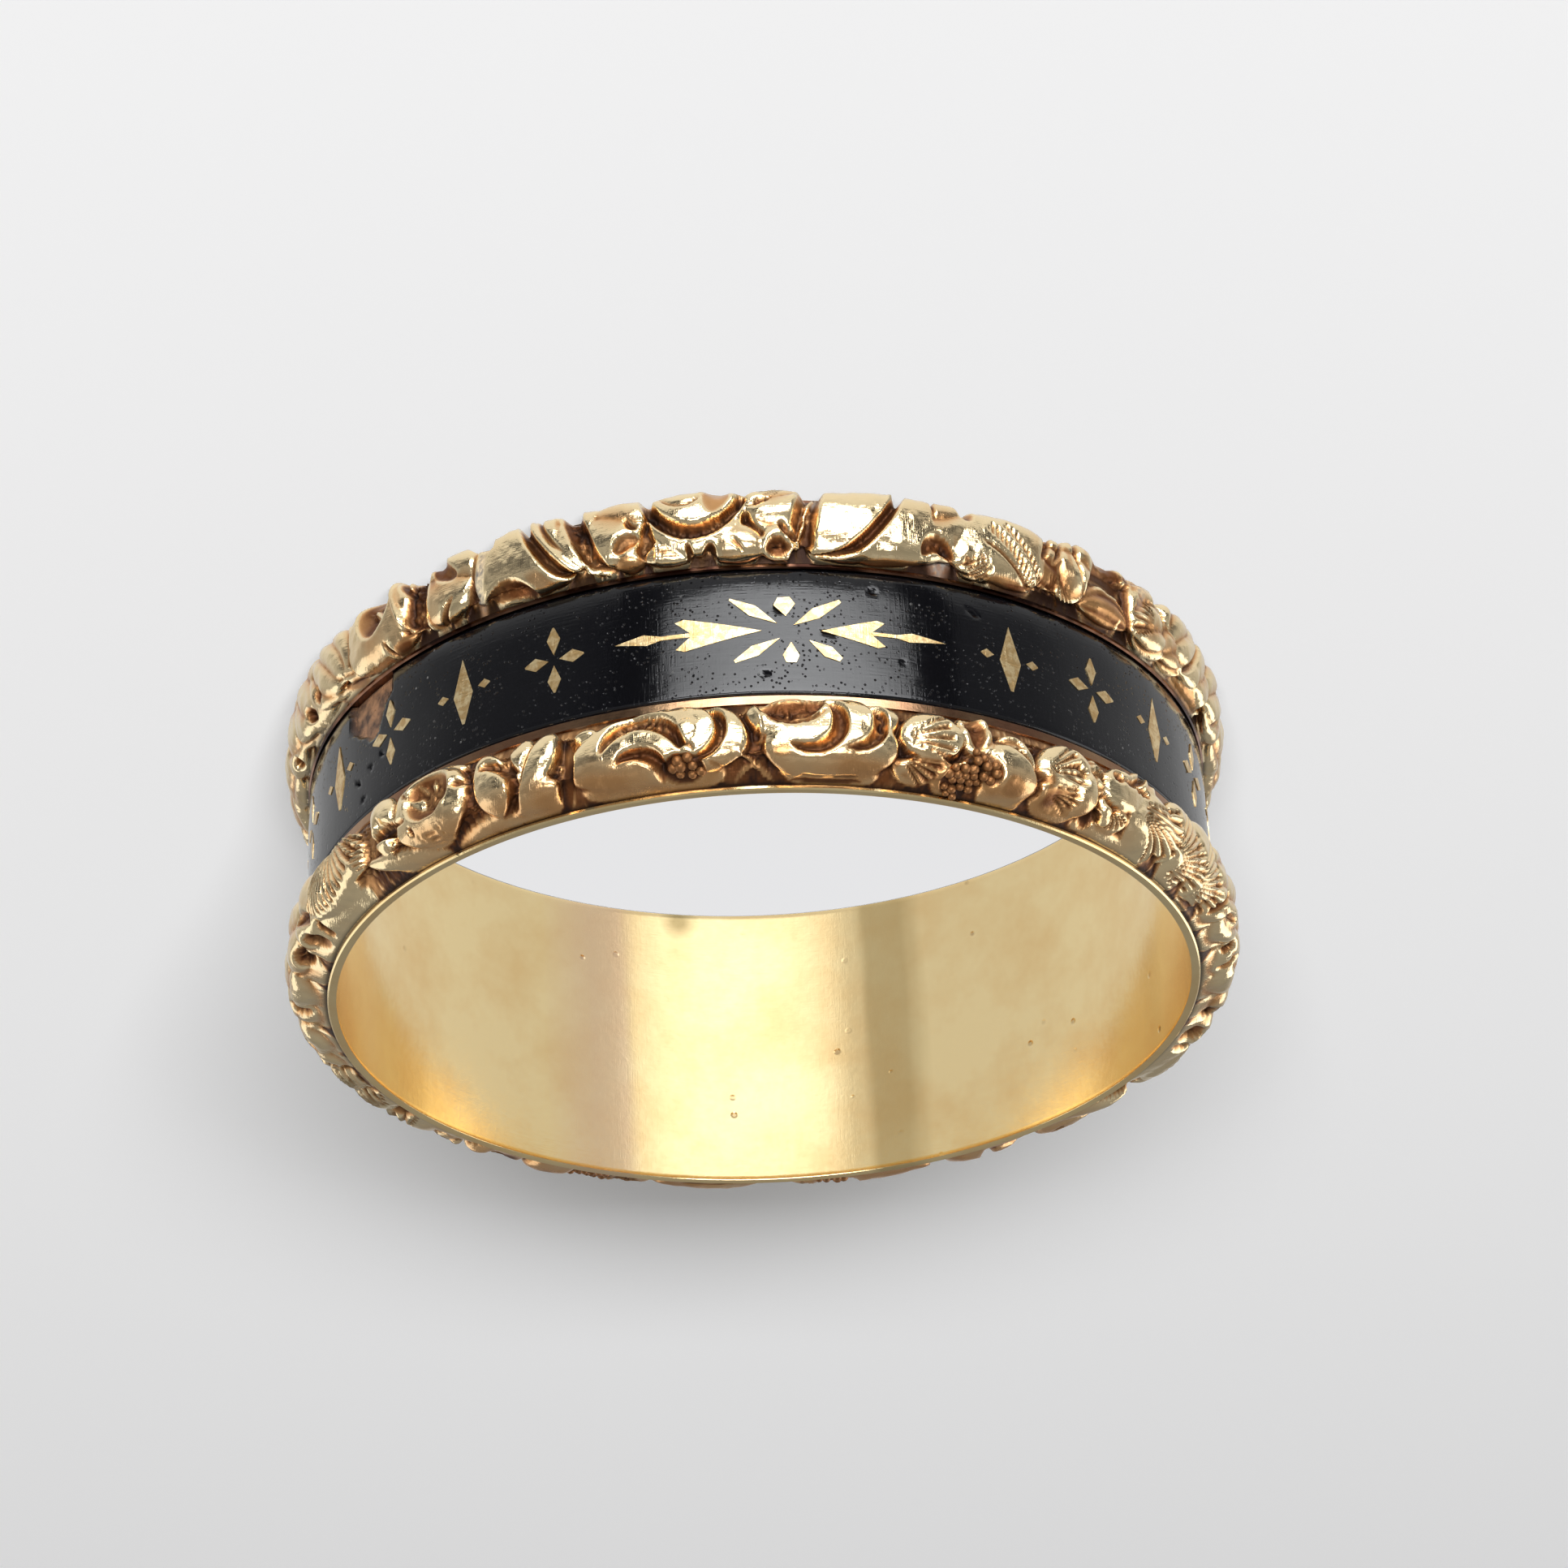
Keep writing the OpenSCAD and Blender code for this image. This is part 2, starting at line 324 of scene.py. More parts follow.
UPPER_CHART = [
    # Hatched cushions and notches at the far left
    Pad(-87, 0.5, 12, 1.1, 0, 0.95, wall=0.4, veins=3),
    Pad(-79, 0.55, 9, 1.1, -10, 0.95, wall=0.4, veins=2),
    Pad(-71, 0.45, 9, 1, -25, 0.95, wall=0.4, veins=2),
    Pad(-63.5, 0.42, 14, 0.62, -28, wall=0.35),
    Pad(-58.5, 0.5, 10, 0.5, -38, point=0.5, wall=0.35),
    Pad(-66, 0.1, 18, 0.3, -3, 0.85, wall=0.4),
    Pit(-77.5, 0.22, 4, 0.22, 20, 0.7, 0.7),
    Pit(-72, 0.17, 4, 0.22, -30, 0.8, 0.9),
    Pit(-68.5, 0.16, 1.8, 0.2, -30, 0.7),
    Cut(-74, 0.46, -69, 0.3, 0.1, 0.14, 0.5, 0.5, 0.8),
    Fan(-63, 0.92, 0.35, 1.85, -128, -16, 15, 0.3, 0.8),
    Hatch(-57.4, 0.7, -53.6, 0.26, 0.2, 9, -0.5, 0.32, 0.6, 0.05),
    # Curl and the long leaf under it
    Pad(-49.8, 0.68, 4.6, 0.85, 8),
    Pad(-47.5, 0.17, 12.5, 0.2, -20, 0.98, point=0.4, bend=-0.5),
    Cut(-51.7, 0.4, -46.6, 0.38, 0.25, 0.17, 0.9, 0.4, 1),
    Cut(-50, 0.62, -47.8, 0.48, -0.2, 0.12, 0.35, 0.2, 0.1),
    Fan(-49.5, 0.36, 0.1, 0.55, -60, 5, 6, 0.25, 0.6),
    # Open blossom with its deep eye
    Pad(-41.6, 0.5, 11, 0.8, 0, 1.04, wall=0.22),
    Pad(-41, 0.86, 9.5, 0.42, 0, 0.95),
    Pit(-41.3, 0.58, 7, 0.43, 12, 0.95, 0.85, 3),
    Cut(-44.4, 0.6, -42.4, 0.5, 0.1, 0.07, -0.16, 0, -0.3, lip=0),
    Cut(-42.2, 0.42, -38.4, 0.5, -0.4, 0.04, -0.16, 0, -0.2, lip=0),
    Cut(-44, 0.58, -42.2, 0.57, 0.1, 0.04, -0.18, 0, 0.3, lip=0),
    Cut(-43.1, 0.72, -41.9, 0.63, 0.1, 0.04, -0.18, 0, 0.3, lip=0),
    Cut(-40.8, 0.74, -41.1, 0.64, 0.1, 0.04, -0.18, 0, 0.3, lip=0),
    Pit(-39.7, 0.48, 1.9, 0.11, 0, -0.3, 0.3, 1.5),
    Pit(-39.7, 0.48, 1, 0.06, 0, 0.4, 1, 2),
    Cut(-47.2, 0.47, -44.8, 0.455, 0, 0.045, 0.7, 0, 1),
    Cut(-44.2, 0.36, -43.7, 0.29, 0, 0.045, 0.6, 0, 1),
    Cut(-37.6, 0.58, -35.6, 0.58, 0, 0.05, 0.7, 0, 0.8),
    Cut(-45.9, 0.71, -44.4, 0.62, 0, 0.03, 0.4, 0, 0.8),
    Cut(-43.6, 0.28, -38.8, 0.3, -0.14, 0.02, 0.25, 0, 0.3),
    Cut(-43, 0.215, -39, 0.235, -0.12, 0.02, 0.25, 0, 0.3),
    # Leaf with a crescent, and the two leaves beside it
    Pad(-31.8, 0.38, 4.8, 0.72, 12, wall=0.25),
    Pad(-28.6, 0.5, 9.4, 0.23, 64, 1.05, point=0.7),
    Pad(-27.4, 0.2, 8, 0.46, 24, point=0.2),
    Pad(-25.8, 0.5, 9.8, 0.26, 62, 1.05, point=0.6),
    Pad(-33.5, 0.07, 13, 0.15, 8, 0.85),
    Cut(-33.4, 0.6, -31.8, 0.12, 0.5, 0.11, 0.8, 0.7, 0.95, fat=0.9),
    Cut(-29.2, 0.74, -27.6, 0.46, -0.25, 0.09, 0.6, 0.3, 0.75),
    Cut(-28, 0.3, -25.6, 0.72, 0.05, 0.03, 0.3, 0, 0.6),
    Cut(-22.8, 0.7, -23.9, 0.02, 0.12, 0.13, 0.9, 0, 0.9, taper=0.3),
    Pad(-19.6, 0.66, 3.2, 0.1, 5, 0.8),
    # Great scroll with its crescents and berries
    Pad(-12.6, 0.36, 18.5, 0.78, 4, 1.04, wall=0.24),
    Pad(-8.5, 0.48, 15, 0.72, -6, wall=0.22),
    Pad(-12.4, 0.1, 17, 0.24, 0, 0.9),
    Cut(-17.7, 0.44, -8.4, 0.38, 0.4, 0.15, 0.8, 0.75, 0.6, fat=1.1),
    Cut(-16, 0.33, -11, 0.12, 0.4, 0.13, 0.75, 0.75, 0.65, fat=1.1),
    Cut(-10.2, 0.74, -8.4, 0.3, 0.8, 0.09, 0.75, 0.6, 0.6),
    Pit(-7.6, 0.55, 2.4, 0.17, 15, -0.35, 0, 2),
    Cut(-9, 0.55, -7.6, 0.42, -0.2, 0.05, 0.4, 0, 0.8),
    Cut(-8.7, 0.42, -7, 0.35, 0.3, 0.03, 0.35, 0, 0.9),
    Berries(-8.4, 0.21, 5.2, 0.28, 0, 0.26),
    Cut(-5.6, 0.27, -3.6, 0.16, 0.1, 0.05, 0.12, 0.3, 0.35),
    Cut(-11.5, 0.7, -6.4, 0.66, 0.18, 0.02, 0.15, 0, 0.3),
    # Ridge in the gap between scroll and shell
    Cut(-1.8, 0.34, 2.6, 0.02, -0.1, 0.04, -0.45, 0, 0.25, lip=0),
    Cut(-2.6, 0.03, 1.2, 0.16, 0.1, 0.04, -0.35, 0, 0.3, lip=0),
    Cut(-0.2, 0.74, 0.6, 0.4, 0.1, 0.03, -0.3, lip=0),
    # Great shell
    Pad(8.8, 0.38, 15, 0.78, 4, 1.04, wall=0.24),
    Pad(8, 0.68, 17, 0.58, wall=0.24),
    Pad(9.4, 0.1, 10.5, 0.22, 0, 0.9),
    Cut(0.9, 0.84, 7.6, 0.86, -0.36, 0.24, 0.8, -0.3, 0.9, 0.4),
    Cut(1.4, 0.62, 8.2, 0.66, -0.13, 0.05, 0.45, -0.4, 0.8),
    Cut(8.2, 0.78, 4, 0.4, 0.52, 0.13, 0.7, 0.7, 0.55, fat=0.8),
    Cut(12, 0.84, 10.4, 0.36, 0.44, 0.13, 0.65, 0.7, fat=0.8),
    Cut(4.5, 0.115, 12.8, 0.115, -0.03, 0.025, 0.25, 0, 0.7),
    Cut(4, 0.06, 13, 0.06, -0.02, 0.06, 0.5, 0, 0.9),
    Tarnish(3.2, 0.33, 3.4, 0.14, 10, 0.25),
    # Ribbed leaf over a fluted one
    Pad(20.8, 0.54, 8, 0.44, 8, 1.02, point=0.3, wall=0.26),
    Fan(16.6, 0.47, 0.2, 1.25, -16, 34, 4, 0.24, 0.45),
    Cut(21.6, 0.37, 24.6, 0.5, -0.3, 0.06, 0.4, 0, 0.6),
    Pad(19.3, 0.19, 6.4, 0.26, 6, 0.88, stain=0.25),
    Fan(16.4, 0.33, 0.25, 1.05, -50, 0, 4, 0.28, 0.6),
    Pad(22.6, 0.17, 3.4, 0.34, 20, 0.95, veins=2),
    Pad(26.2, 0.68, 4.4, 0.5, 10, 0.98, wall=0.28, veins=2),
    Cut(24.6, 0.86, 26.2, 0.5, 0.12, 0.2, 0.6, 0, 0.75),
    Cut(24.4, 0.35, 28.2, 0.56, -0.1, 0.03, -0.3, 0, 0, lip=0),
    Berries(27.3, 0.33, 3.9, 0.32, 30, 0.25),
    Berries(24.6, 0.15, 4.8, 0.3, 0, 0.21),
    # Smooth leaf
    Pad(30.8, 0.28, 6.8, 0.76, -4, 1.05, wall=0.2),
    Cut(28.2, 0.585, 34.1, 0.02, 0.31, 0.045, 0.45, 0.3, 0.65),
    Cut(28.8, 0.57, 32.4, 0.56, 0.22, 0.07, 0.3, 0.2, 0.6),
    Tarnish(31, 0.24, 3.6, 0.2, -20, 0.35),
    # Fluted pair
    Pad(38.6, 0.56, 8.6, 0.38, 22, point=0.3),
    Pad(38.4, 0.22, 8.4, 0.4, 6, 0.98, dish=0.35, stain=0.12),
    Pad(41.6, 0.34, 3.6, 0.52, -10, 1.02, point=0.4),
    Fan(34.6, 0.42, 0.25, 1.25, 2, 46, 4, 0.3, 0.6),
    Fan(34.8, 0.3, 0.35, 1.05, -30, 12, 4, 0.28, 0.6),
    Tarnish(35.4, 0.4, 3.2, 0.26, 0, 0.65),
    Tarnish(37, 0.22, 4.4, 0.26, 0, 0.35),
    Cut(38.4, 0.52, 42, 0.53, 0.15, 0.05, 0.4, 0.4, 0.4),
    Pit(43.8, 0.15, 2.3, 0.2, -10, 0.9, 0.95),
    Pad(45.2, 0.24, 2.4, 0.34, 25, 0.95, point=0.5, veins=2),
    # Curl with a pit
    Pad(43.4, 0.58, 3.6, 0.3, 10, 0.85, stain=0.3, veins=2),
    Fan(42, 0.52, 0.05, 0.6, 8, 55, 4, 0.35, 0.6),
    Pad(48, 0.56, 7.2, 0.36, 18, 1.05, wall=0.22),
    Pad(51.6, 0.78, 7.5, 0.4, 48, 1.03, wall=0.24, veins=1),
    Pit(46.7, 0.63, 2, 0.1, 20, 0.5),
    Cut(47.4, 0.62, 52.6, 0.92, -0.22, 0.09, 0.55, 0.4, 0.6),
    # Fan leaf
    Pad(54.2, 0.34, 10.4, 0.7, 14, 1.02, wall=0.26),
    Fan(49.4, 0.5, 0.35, 1.85, -48, 14, 7, 0.3, 0.55),
    Cut(49.8, 0.58, 52.6, 0.6, 0.2, 0.08, 0.5, 0, 0.8),
    Pad(47.4, 0.2, 3.4, 0.32, -20, 0.85, stain=0.2),
    Fan(45.4, 0.38, 0.15, 0.7, -75, -30, 4, 0.28, 0.5),
    Pad(50, 0.06, 16, 0.12, 0, 0.85),
    Pit(57.2, 0.08, 2.4, 0.22, 0, 0.7, 0.9),
    # Hatched fans at the far right
    Pad(61.2, 0.42, 7.6, 0.88, 12, 1.03, wall=0.26),
    Pad(67.4, 0.44, 7.6, 0.9, 16, 1.01, wall=0.26),
    Pad(73.4, 0.45, 7, 0.9, 18, veins=4),
    Pad(79, 0.5, 10, 1, 18, wall=0.35, veins=4),
    Pad(88, 0.5, 12, 1, 8, 0.95, wall=0.4, veins=4),
    Fan(57, 0.16, 0.55, 1.8, -12, 64, 11, 0.26, 0.45),
    Fan(63.4, 0.12, 0.6, 1.8, -8, 62, 10, 0.26, 0.45),
    Cut(73.6, 0.15, 76, 0.47, 0.1, 0.12, 0.7, 0.2, 0.85),
    Cut(76.8, 0.3, 80.2, 0.36, 0, 0.07, 0.5, 0, 0.7),
    Pit(85, 0.24, 2, 0.17, 20, 0.7, 0.85),
    Pit(88.8, 0.24, 2.4, 0.24, 10, 0.7, 0.85),
    Cut(66.5, 0.05, 73.5, 0.06, 0, 0.05, 0.6, 0, 0.9),
]

LOWER_CHART = [
    # Leaves at the far left
    Pad(-86, 0.5, 12, 1, 0, 0.95, wall=0.4, veins=3),
    Pad(-78, 0.45, 10, 1, -20, 0.98, wall=0.35, veins=3),
    Pad(-70, 0.42, 11, 0.8, -38, veins=3),
    Pad(-62.5, 0.42, 11, 0.72, -42, 1.02, wall=0.28, veins=4),
    Pad(-66.5, 0.78, 9, 0.36, -10, 0.85),
    Pad(-58.2, 0.76, 9, 0.34, -12, 0.95, wall=0.28, dish=0.3, veins=2),
    Pit(-68.2, 0.62, 3.2, 0.12, -25, 0.7, 0.9),
    Pit(-65, 0.56, 2.2, 0.1, -40, 0.7, 0.9),
    Pit(-78.5, 0.7, 2.6, 0.14, -20, 0.7),
    Pit(-58.6, 0.7, 2.2, 0.09, 5, 0.6),
    Tarnish(-57, 0.77, 6.5, 0.2, -12, 0.6, 0.2),
    # Bell blossom with its pit
    Pad(-50.6, 0.4, 11, 0.94, -10, 1.04, wall=0.22),
    Pad(-48.4, 0.76, 8, 0.28, 0, 0.92, stain=0.25),
    Pit(-50.6, 0.3, 6.6, 0.46, -20, 0.9, 0.8, 3),
    Cut(-51.8, 0.24, -49.2, 0.44, 0, 0.06, -0.25, 0, -0.5, lip=0),
    Cut(-48.5, 0.62, -48.2, 0.82, 0, 0.05, 0.6, 0, 0.9),
    Tarnish(-46.5, 0.75, 5, 0.18, 0, 0.55),
    # Two upright ribs in the gap
    Cut(-47.2, 0.02, -41.9, 0.86, -0.1, 0.05, -0.45, 0, 0.45, lip=0),
    Cut(-45.8, 0.1, -43.8, 0.38, -0.1, 0.07, 0.5, 0, 0.9),
    Pad(-37.6, 0.4, 6.6, 1, -14, wall=0.24, veins=2),
    Cut(-39.6, 0.12, -36.2, 0.4, -0.2, 0.16, 0.45, 0.5, 0.75),
    Cut(-38.6, 0.9, -36.6, 0.56, 0.2, 0.05, 0.4, 0, 0.6),
    Tarnish(-38.4, 0.74, 3.2, 0.26, 10, 0.7),
    Tarnish(-33.2, 0.58, 2.2, 0.8, -12, 0.1, 1),
    # Acanthus leaf with its two long grooves
    Pad(-26.2, 0.4, 14, 0.94, -22, 1.05, wall=0.22),
    Pad(-21.5, 0.3, 9, 0.9, -30, wall=0.26, veins=2),
    Pad(-27.5, 0.72, 12, 0.28, -4, 0.9, veins=1),
    Cut(-27.8, -0.05, -17.2, 0.82, -0.15, 0.085, 0.8, 0.4, 0.9, taper=0.15),
    Cut(-26.6, -0.05, -17.4, 0.74, -0.15, 0.025, -0.3, 0, 0, taper=0.15, lip=0),
    Cut(-21, -0.1, -14.9, 0.84, -0.12, 0.17, 0.8, 0.3, 0.85, fat=0.6),
    Cut(-32.4, 0.82, -26.4, 0.84, 0.36, 0.22, 0.75, 0.2, 0.95),
    Cut(-35.6, 0.14, -31, 0.32, 0.1, 0.15, 0.5, 0.3, 0.75),
    Cut(-25, 0.05, -21.4, 0.52, -0.12, 0.05, 0.3),
    Cut(-22.2, 0.68, -18.4, 0.82, 0.05, 0.03, 0.35, 0, 0.7),
    Tarnish(-24.8, 0.66, 6, 0.2, -8, 0.35),
    # Layered bud with petals
    Pad(-15.2, 0.34, 6.4, 0.92, -16, 1.03, wall=0.24, veins=2),
    Pad(-14, 0.72, 3.6, 0.3, 10, 0.9, stain=0.6),
    Cut(-13.9, 0.36, -12.5, 0.42, -0.3, 0.06, 0.4, 0, 0.7),
    Cut(-15.3, 0.6, -12.4, 0.52, 0.15, 0.12, 0.5, 0.3, 0.85),
    Pad(-9.2, 0.72, 5.6, 0.3, -6, 0.98, wall=0.24, veins=1),
    Pad(-1.2, 0.68, 6.6, 0.36, 14, 0.96, wall=0.26, stain=0.15),
    Pad(-5.8, 0.26, 10.8, 0.78, 0, 1.06, wall=0.22),
    Cut(-11.8, 0.12, -0.4, 0.2, -0.48, 0.11, 0.95, 0.2, 0.9, taper=0.2),
    Cut(-10, 0.2, -5, 0.24, -0.3, 0.03, 0.3, 0, 0.6, taper=0.2),
    Pit(-3.3, 0.27, 3.6, 0.3, 0, 0.4, 0.55, 2.5),
    Cut(-11.9, 0.44, -11, 0.74, 0.2, 0.03, -0.3, 0, 0, lip=0),
    Cut(-6.9, 0.58, -6.6, 0.8, 0.05, 0.05, 0.5, 0, 0.8),
    Cut(-4, 0.6, -3.7, 0.82, -0.15, 0.1, 0.6, 0.2, 0.9),
    Cut(-2, 0.58, -0.4, 0.68, 0.1, 0.04, 0.3),
    Cut(-2.8, 0.44, 0.6, 0.26, 0.1, 0.06, 0.5, 0, 0.6),
    Cut(-2.2, 0.5, 1, 0.4, 0.1, 0.03, 0.3, 0, 0.6),
    Pad(4.2, 0.26, 8.4, 0.54, 16, 1.04, wall=0.22, veins=2),
    Cut(1, 0.04, 2.4, 0.12, 0.2, 0.05, 0.35, 0, 0.8),
    Cut(1, 0.34, 2.6, 0.3, 0.2, 0.05, 0.35, 0, 0.8),
    Fan(7, 0.02, 0.5, 1.15, 195, 225, 4, 0.12),
    Pad(3.9, 0.66, 4.6, 0.3, wall=0.2),
    Pit(3.7, 0.66, 3.2, 0.21, -15, 0.85, 0.8, 3),
    Cut(3.8, 0.48, 6.2, 0.58, -0.1, 0.07, 0.6, 0, 0.9),
    Cut(5.9, 0.9, 9, -0.05, 0.04, 0.2, 0.85, 0, 0.75, taper=0.2, lip=0),
    Cut(5.8, 0.84, 8.9, 0.1, 0.06, 0.04, -0.5, 0, 0.2, taper=0.2, lip=0),
    Cut(4.6, 0.84, 7.6, 0.4, 0.06, 0.025, -0.4, 0, 0.2, taper=0.2, lip=0),
    Tarnish(8.2, 0.18, 2.6, 0.4, 0, 0.1, 0.9),
    # Long leaf with one long groove
    Pad(16.4, 0.32, 18, 0.86, 22, 1.06, wall=0.2),
    Pad(15, 0.66, 16, 0.4, 8, 0.95, wall=0.28),
    Pad(22.6, 0.24, 8, 0.72, 10, wall=0.24, veins=3),
    Cut(19.4, -0.05, 7.4, 0.78, 0.15, 0.09, 0.75, -0.4, 0.85, taper=0.2),
    Cut(18.4, -0.05, 7.4, 0.74, 0.15, 0.02, -0.2, 0, 0, taper=0.2, lip=0),
    Cut(23.4, 0.02, 22.4, 0.36, -0.1, 0.035, 0.35, 0, 0.6),
    Cut(20.8, 0.64, 24.4, 0.65, 0.42, 0.13, 0.6, 0.5, 0.9),
    Cut(24.3, 0.1, 26.6, 0.32, 0.2, 0.16, 0.4, 0.3, 0.6),
    Tarnish(17.4, 0.76, 11, 0.16, 3, 0.75),
    Tarnish(23.4, 0.76, 4.2, 0.3, 40, 0.1, 1),
    Tarnish(46, 0.45, 30, 1.3, 0, 0.26),
    Tarnish(-46, 0.45, 22, 1.3, 0, 0.2),
    # Leaf with rows of beads
    Pad(31.2, 0.42, 12, 0.84, -28, wall=0.24),
    Pad(31.6, 0.74, 9.6, 0.26, -8, 0.9, stain=0.6, veins=1),
    Pad(27, 0.68, 3.6, 0.4, 20, 0.92, veins=3),
    Fan(30.6, 0.52, 0.25, 0.9, 195, 245, 6, 0.28, 0.35),
    Hatch(29.2, 0.32, 37, 0.8, 0.09, 15, 0.3, 0.35, 0.35, 0.06),
    Hatch(31.4, 0.28, 37.6, 0.72, 0.06, 13, 0.3, 0.32, 0.35, 0.06),
    Cut(28.4, 0.46, 36.6, 0.84, 0.1, 0.03, 0.4, 0, 0.8, taper=0.2),
    Tarnish(32, 0.74, 8, 0.2, -8, 0.7),
    Pad(39.4, 0.34, 5.4, 0.6, -20, 0.8, stain=0.4, wall=0.35, veins=4),
    Cut(38.2, 0.1, 36.6, 0.46, 0.1, 0.07, 0.4, 0, 0.8),
    Cut(40.4, 0.1, 38.4, 0.46, 0.1, 0.05, 0.35),
    Fan(38.6, 0.42, 0.25, 1.15, -100, -55, 7, 0.18, 0.5),
    # Bright crescent leaf beside a deep hollow
    Pad(42.4, 0.34, 5, 0.72, -18, 1.05, wall=0.22, veins=2),
    Cut(45.6, -0.05, 43.8, 0.58, -0.25, 0.06, 0.5, 0, 0.7, taper=0.2),
    Pad(47.8, 0.68, 8.4, 0.4, 0, 0.82, wall=0.35, stain=0.35, veins=2),
    Pad(49.6, 0.14, 10, 0.3, 4, 0.9, wall=0.35, stain=0.4, veins=2),
    Pit(48.6, 0.3, 6, 0.36, 10, 0.8, 1, 2.5),
    Cut(45.4, 0.44, 51, 0.52, 0.2, 0.05, 0.3, 0, 0.7),
    Cut(49.8, 0.84, 50.1, 0.62, 0, 0.03, -0.12, 0, 0, lip=0),
    Tarnish(54, 0.36, 1.8, 0.44, -10, 0, 0.7),
    Pad(56.2, 0.56, 7, 0.74, 14, 1.02, wall=0.24, veins=4),
    Pad(55.4, 0.2, 5, 0.44, 16, 0.95, veins=2),
    Fan(58, 0.52, 0.3, 0.95, 150, 205, 5, 0.2, 0.35),
    Pit(57.6, 0.28, 2.2, 0.14, 20, 0.6),
    Pad(62, 0.66, 5.6, 0.5, 20, 0.86, stain=0.3, veins=3),
    Pad(65.4, 0.36, 8, 0.84, 36, 1.02, wall=0.24, veins=4),
    Cut(70, 0.14, 64.8, 0.64, 0.12, 0.06, 0.6, 0, 0.7, taper=0.2),
    Pad(70, 0.42, 6, 0.9, 34, wall=0.28, veins=3),
    Pad(70, 0.8, 10, 0.28, 6, 0.82, stain=0.5),
    Pad(78.5, 0.42, 9, 0.94, 28, veins=4),
    Cut(83, 0.24, 78.6, 0.66, 0.1, 0.07, 0.6, 0, 0.7, taper=0.2),
    Pad(86.5, 0.5, 10, 1, 14, 0.96, wall=0.35, veins=3),
    Pit(74.4, 0.7, 2.6, 0.16, 20, 0.7),
]


def smoothstep(low: float, high: float, x: Grid) -> Grid:
    """Values from 0 to 1 that rise smoothly while x goes from low to high."""
    t = np.clip((x - low) / (high - low), 0.0, 1.0)
    return t * t * (3 - 2 * t)


def value_noise(u: Grid, v: Grid, cell: float, seed: int, period: float) -> Grid:
    """Smooth random field that repeats along u.

    Args:
        u: distance round the border.
        v: distance across it.
        cell: size of one lump.
        seed: seed of the field.
        period: length after which it repeats.

    Returns:
        Values from -1 to 1.
    """
    columns, rows = max(1, round(period / cell)), 256
    grid = np.random.default_rng(seed).uniform(-1, 1, (columns, rows))
    x = u / period * columns
    y = v / cell + 8.0
    i, j = np.floor(x).astype(int), np.floor(y).astype(int)
    a, b = x - i, y - j
    a, b = a * a * (3 - 2 * a), b * b * (3 - 2 * b)
    i1, j1 = np.mod(i + 1, columns), np.mod(j + 1, rows)
    i0, j0 = np.mod(i, columns), np.mod(j, rows)
    low = grid[i0, j0] * (1 - a) + grid[i1, j0] * a
    high = grid[i0, j1] * (1 - a) + grid[i1, j1] * a
    return low * (1 - b) + high * b


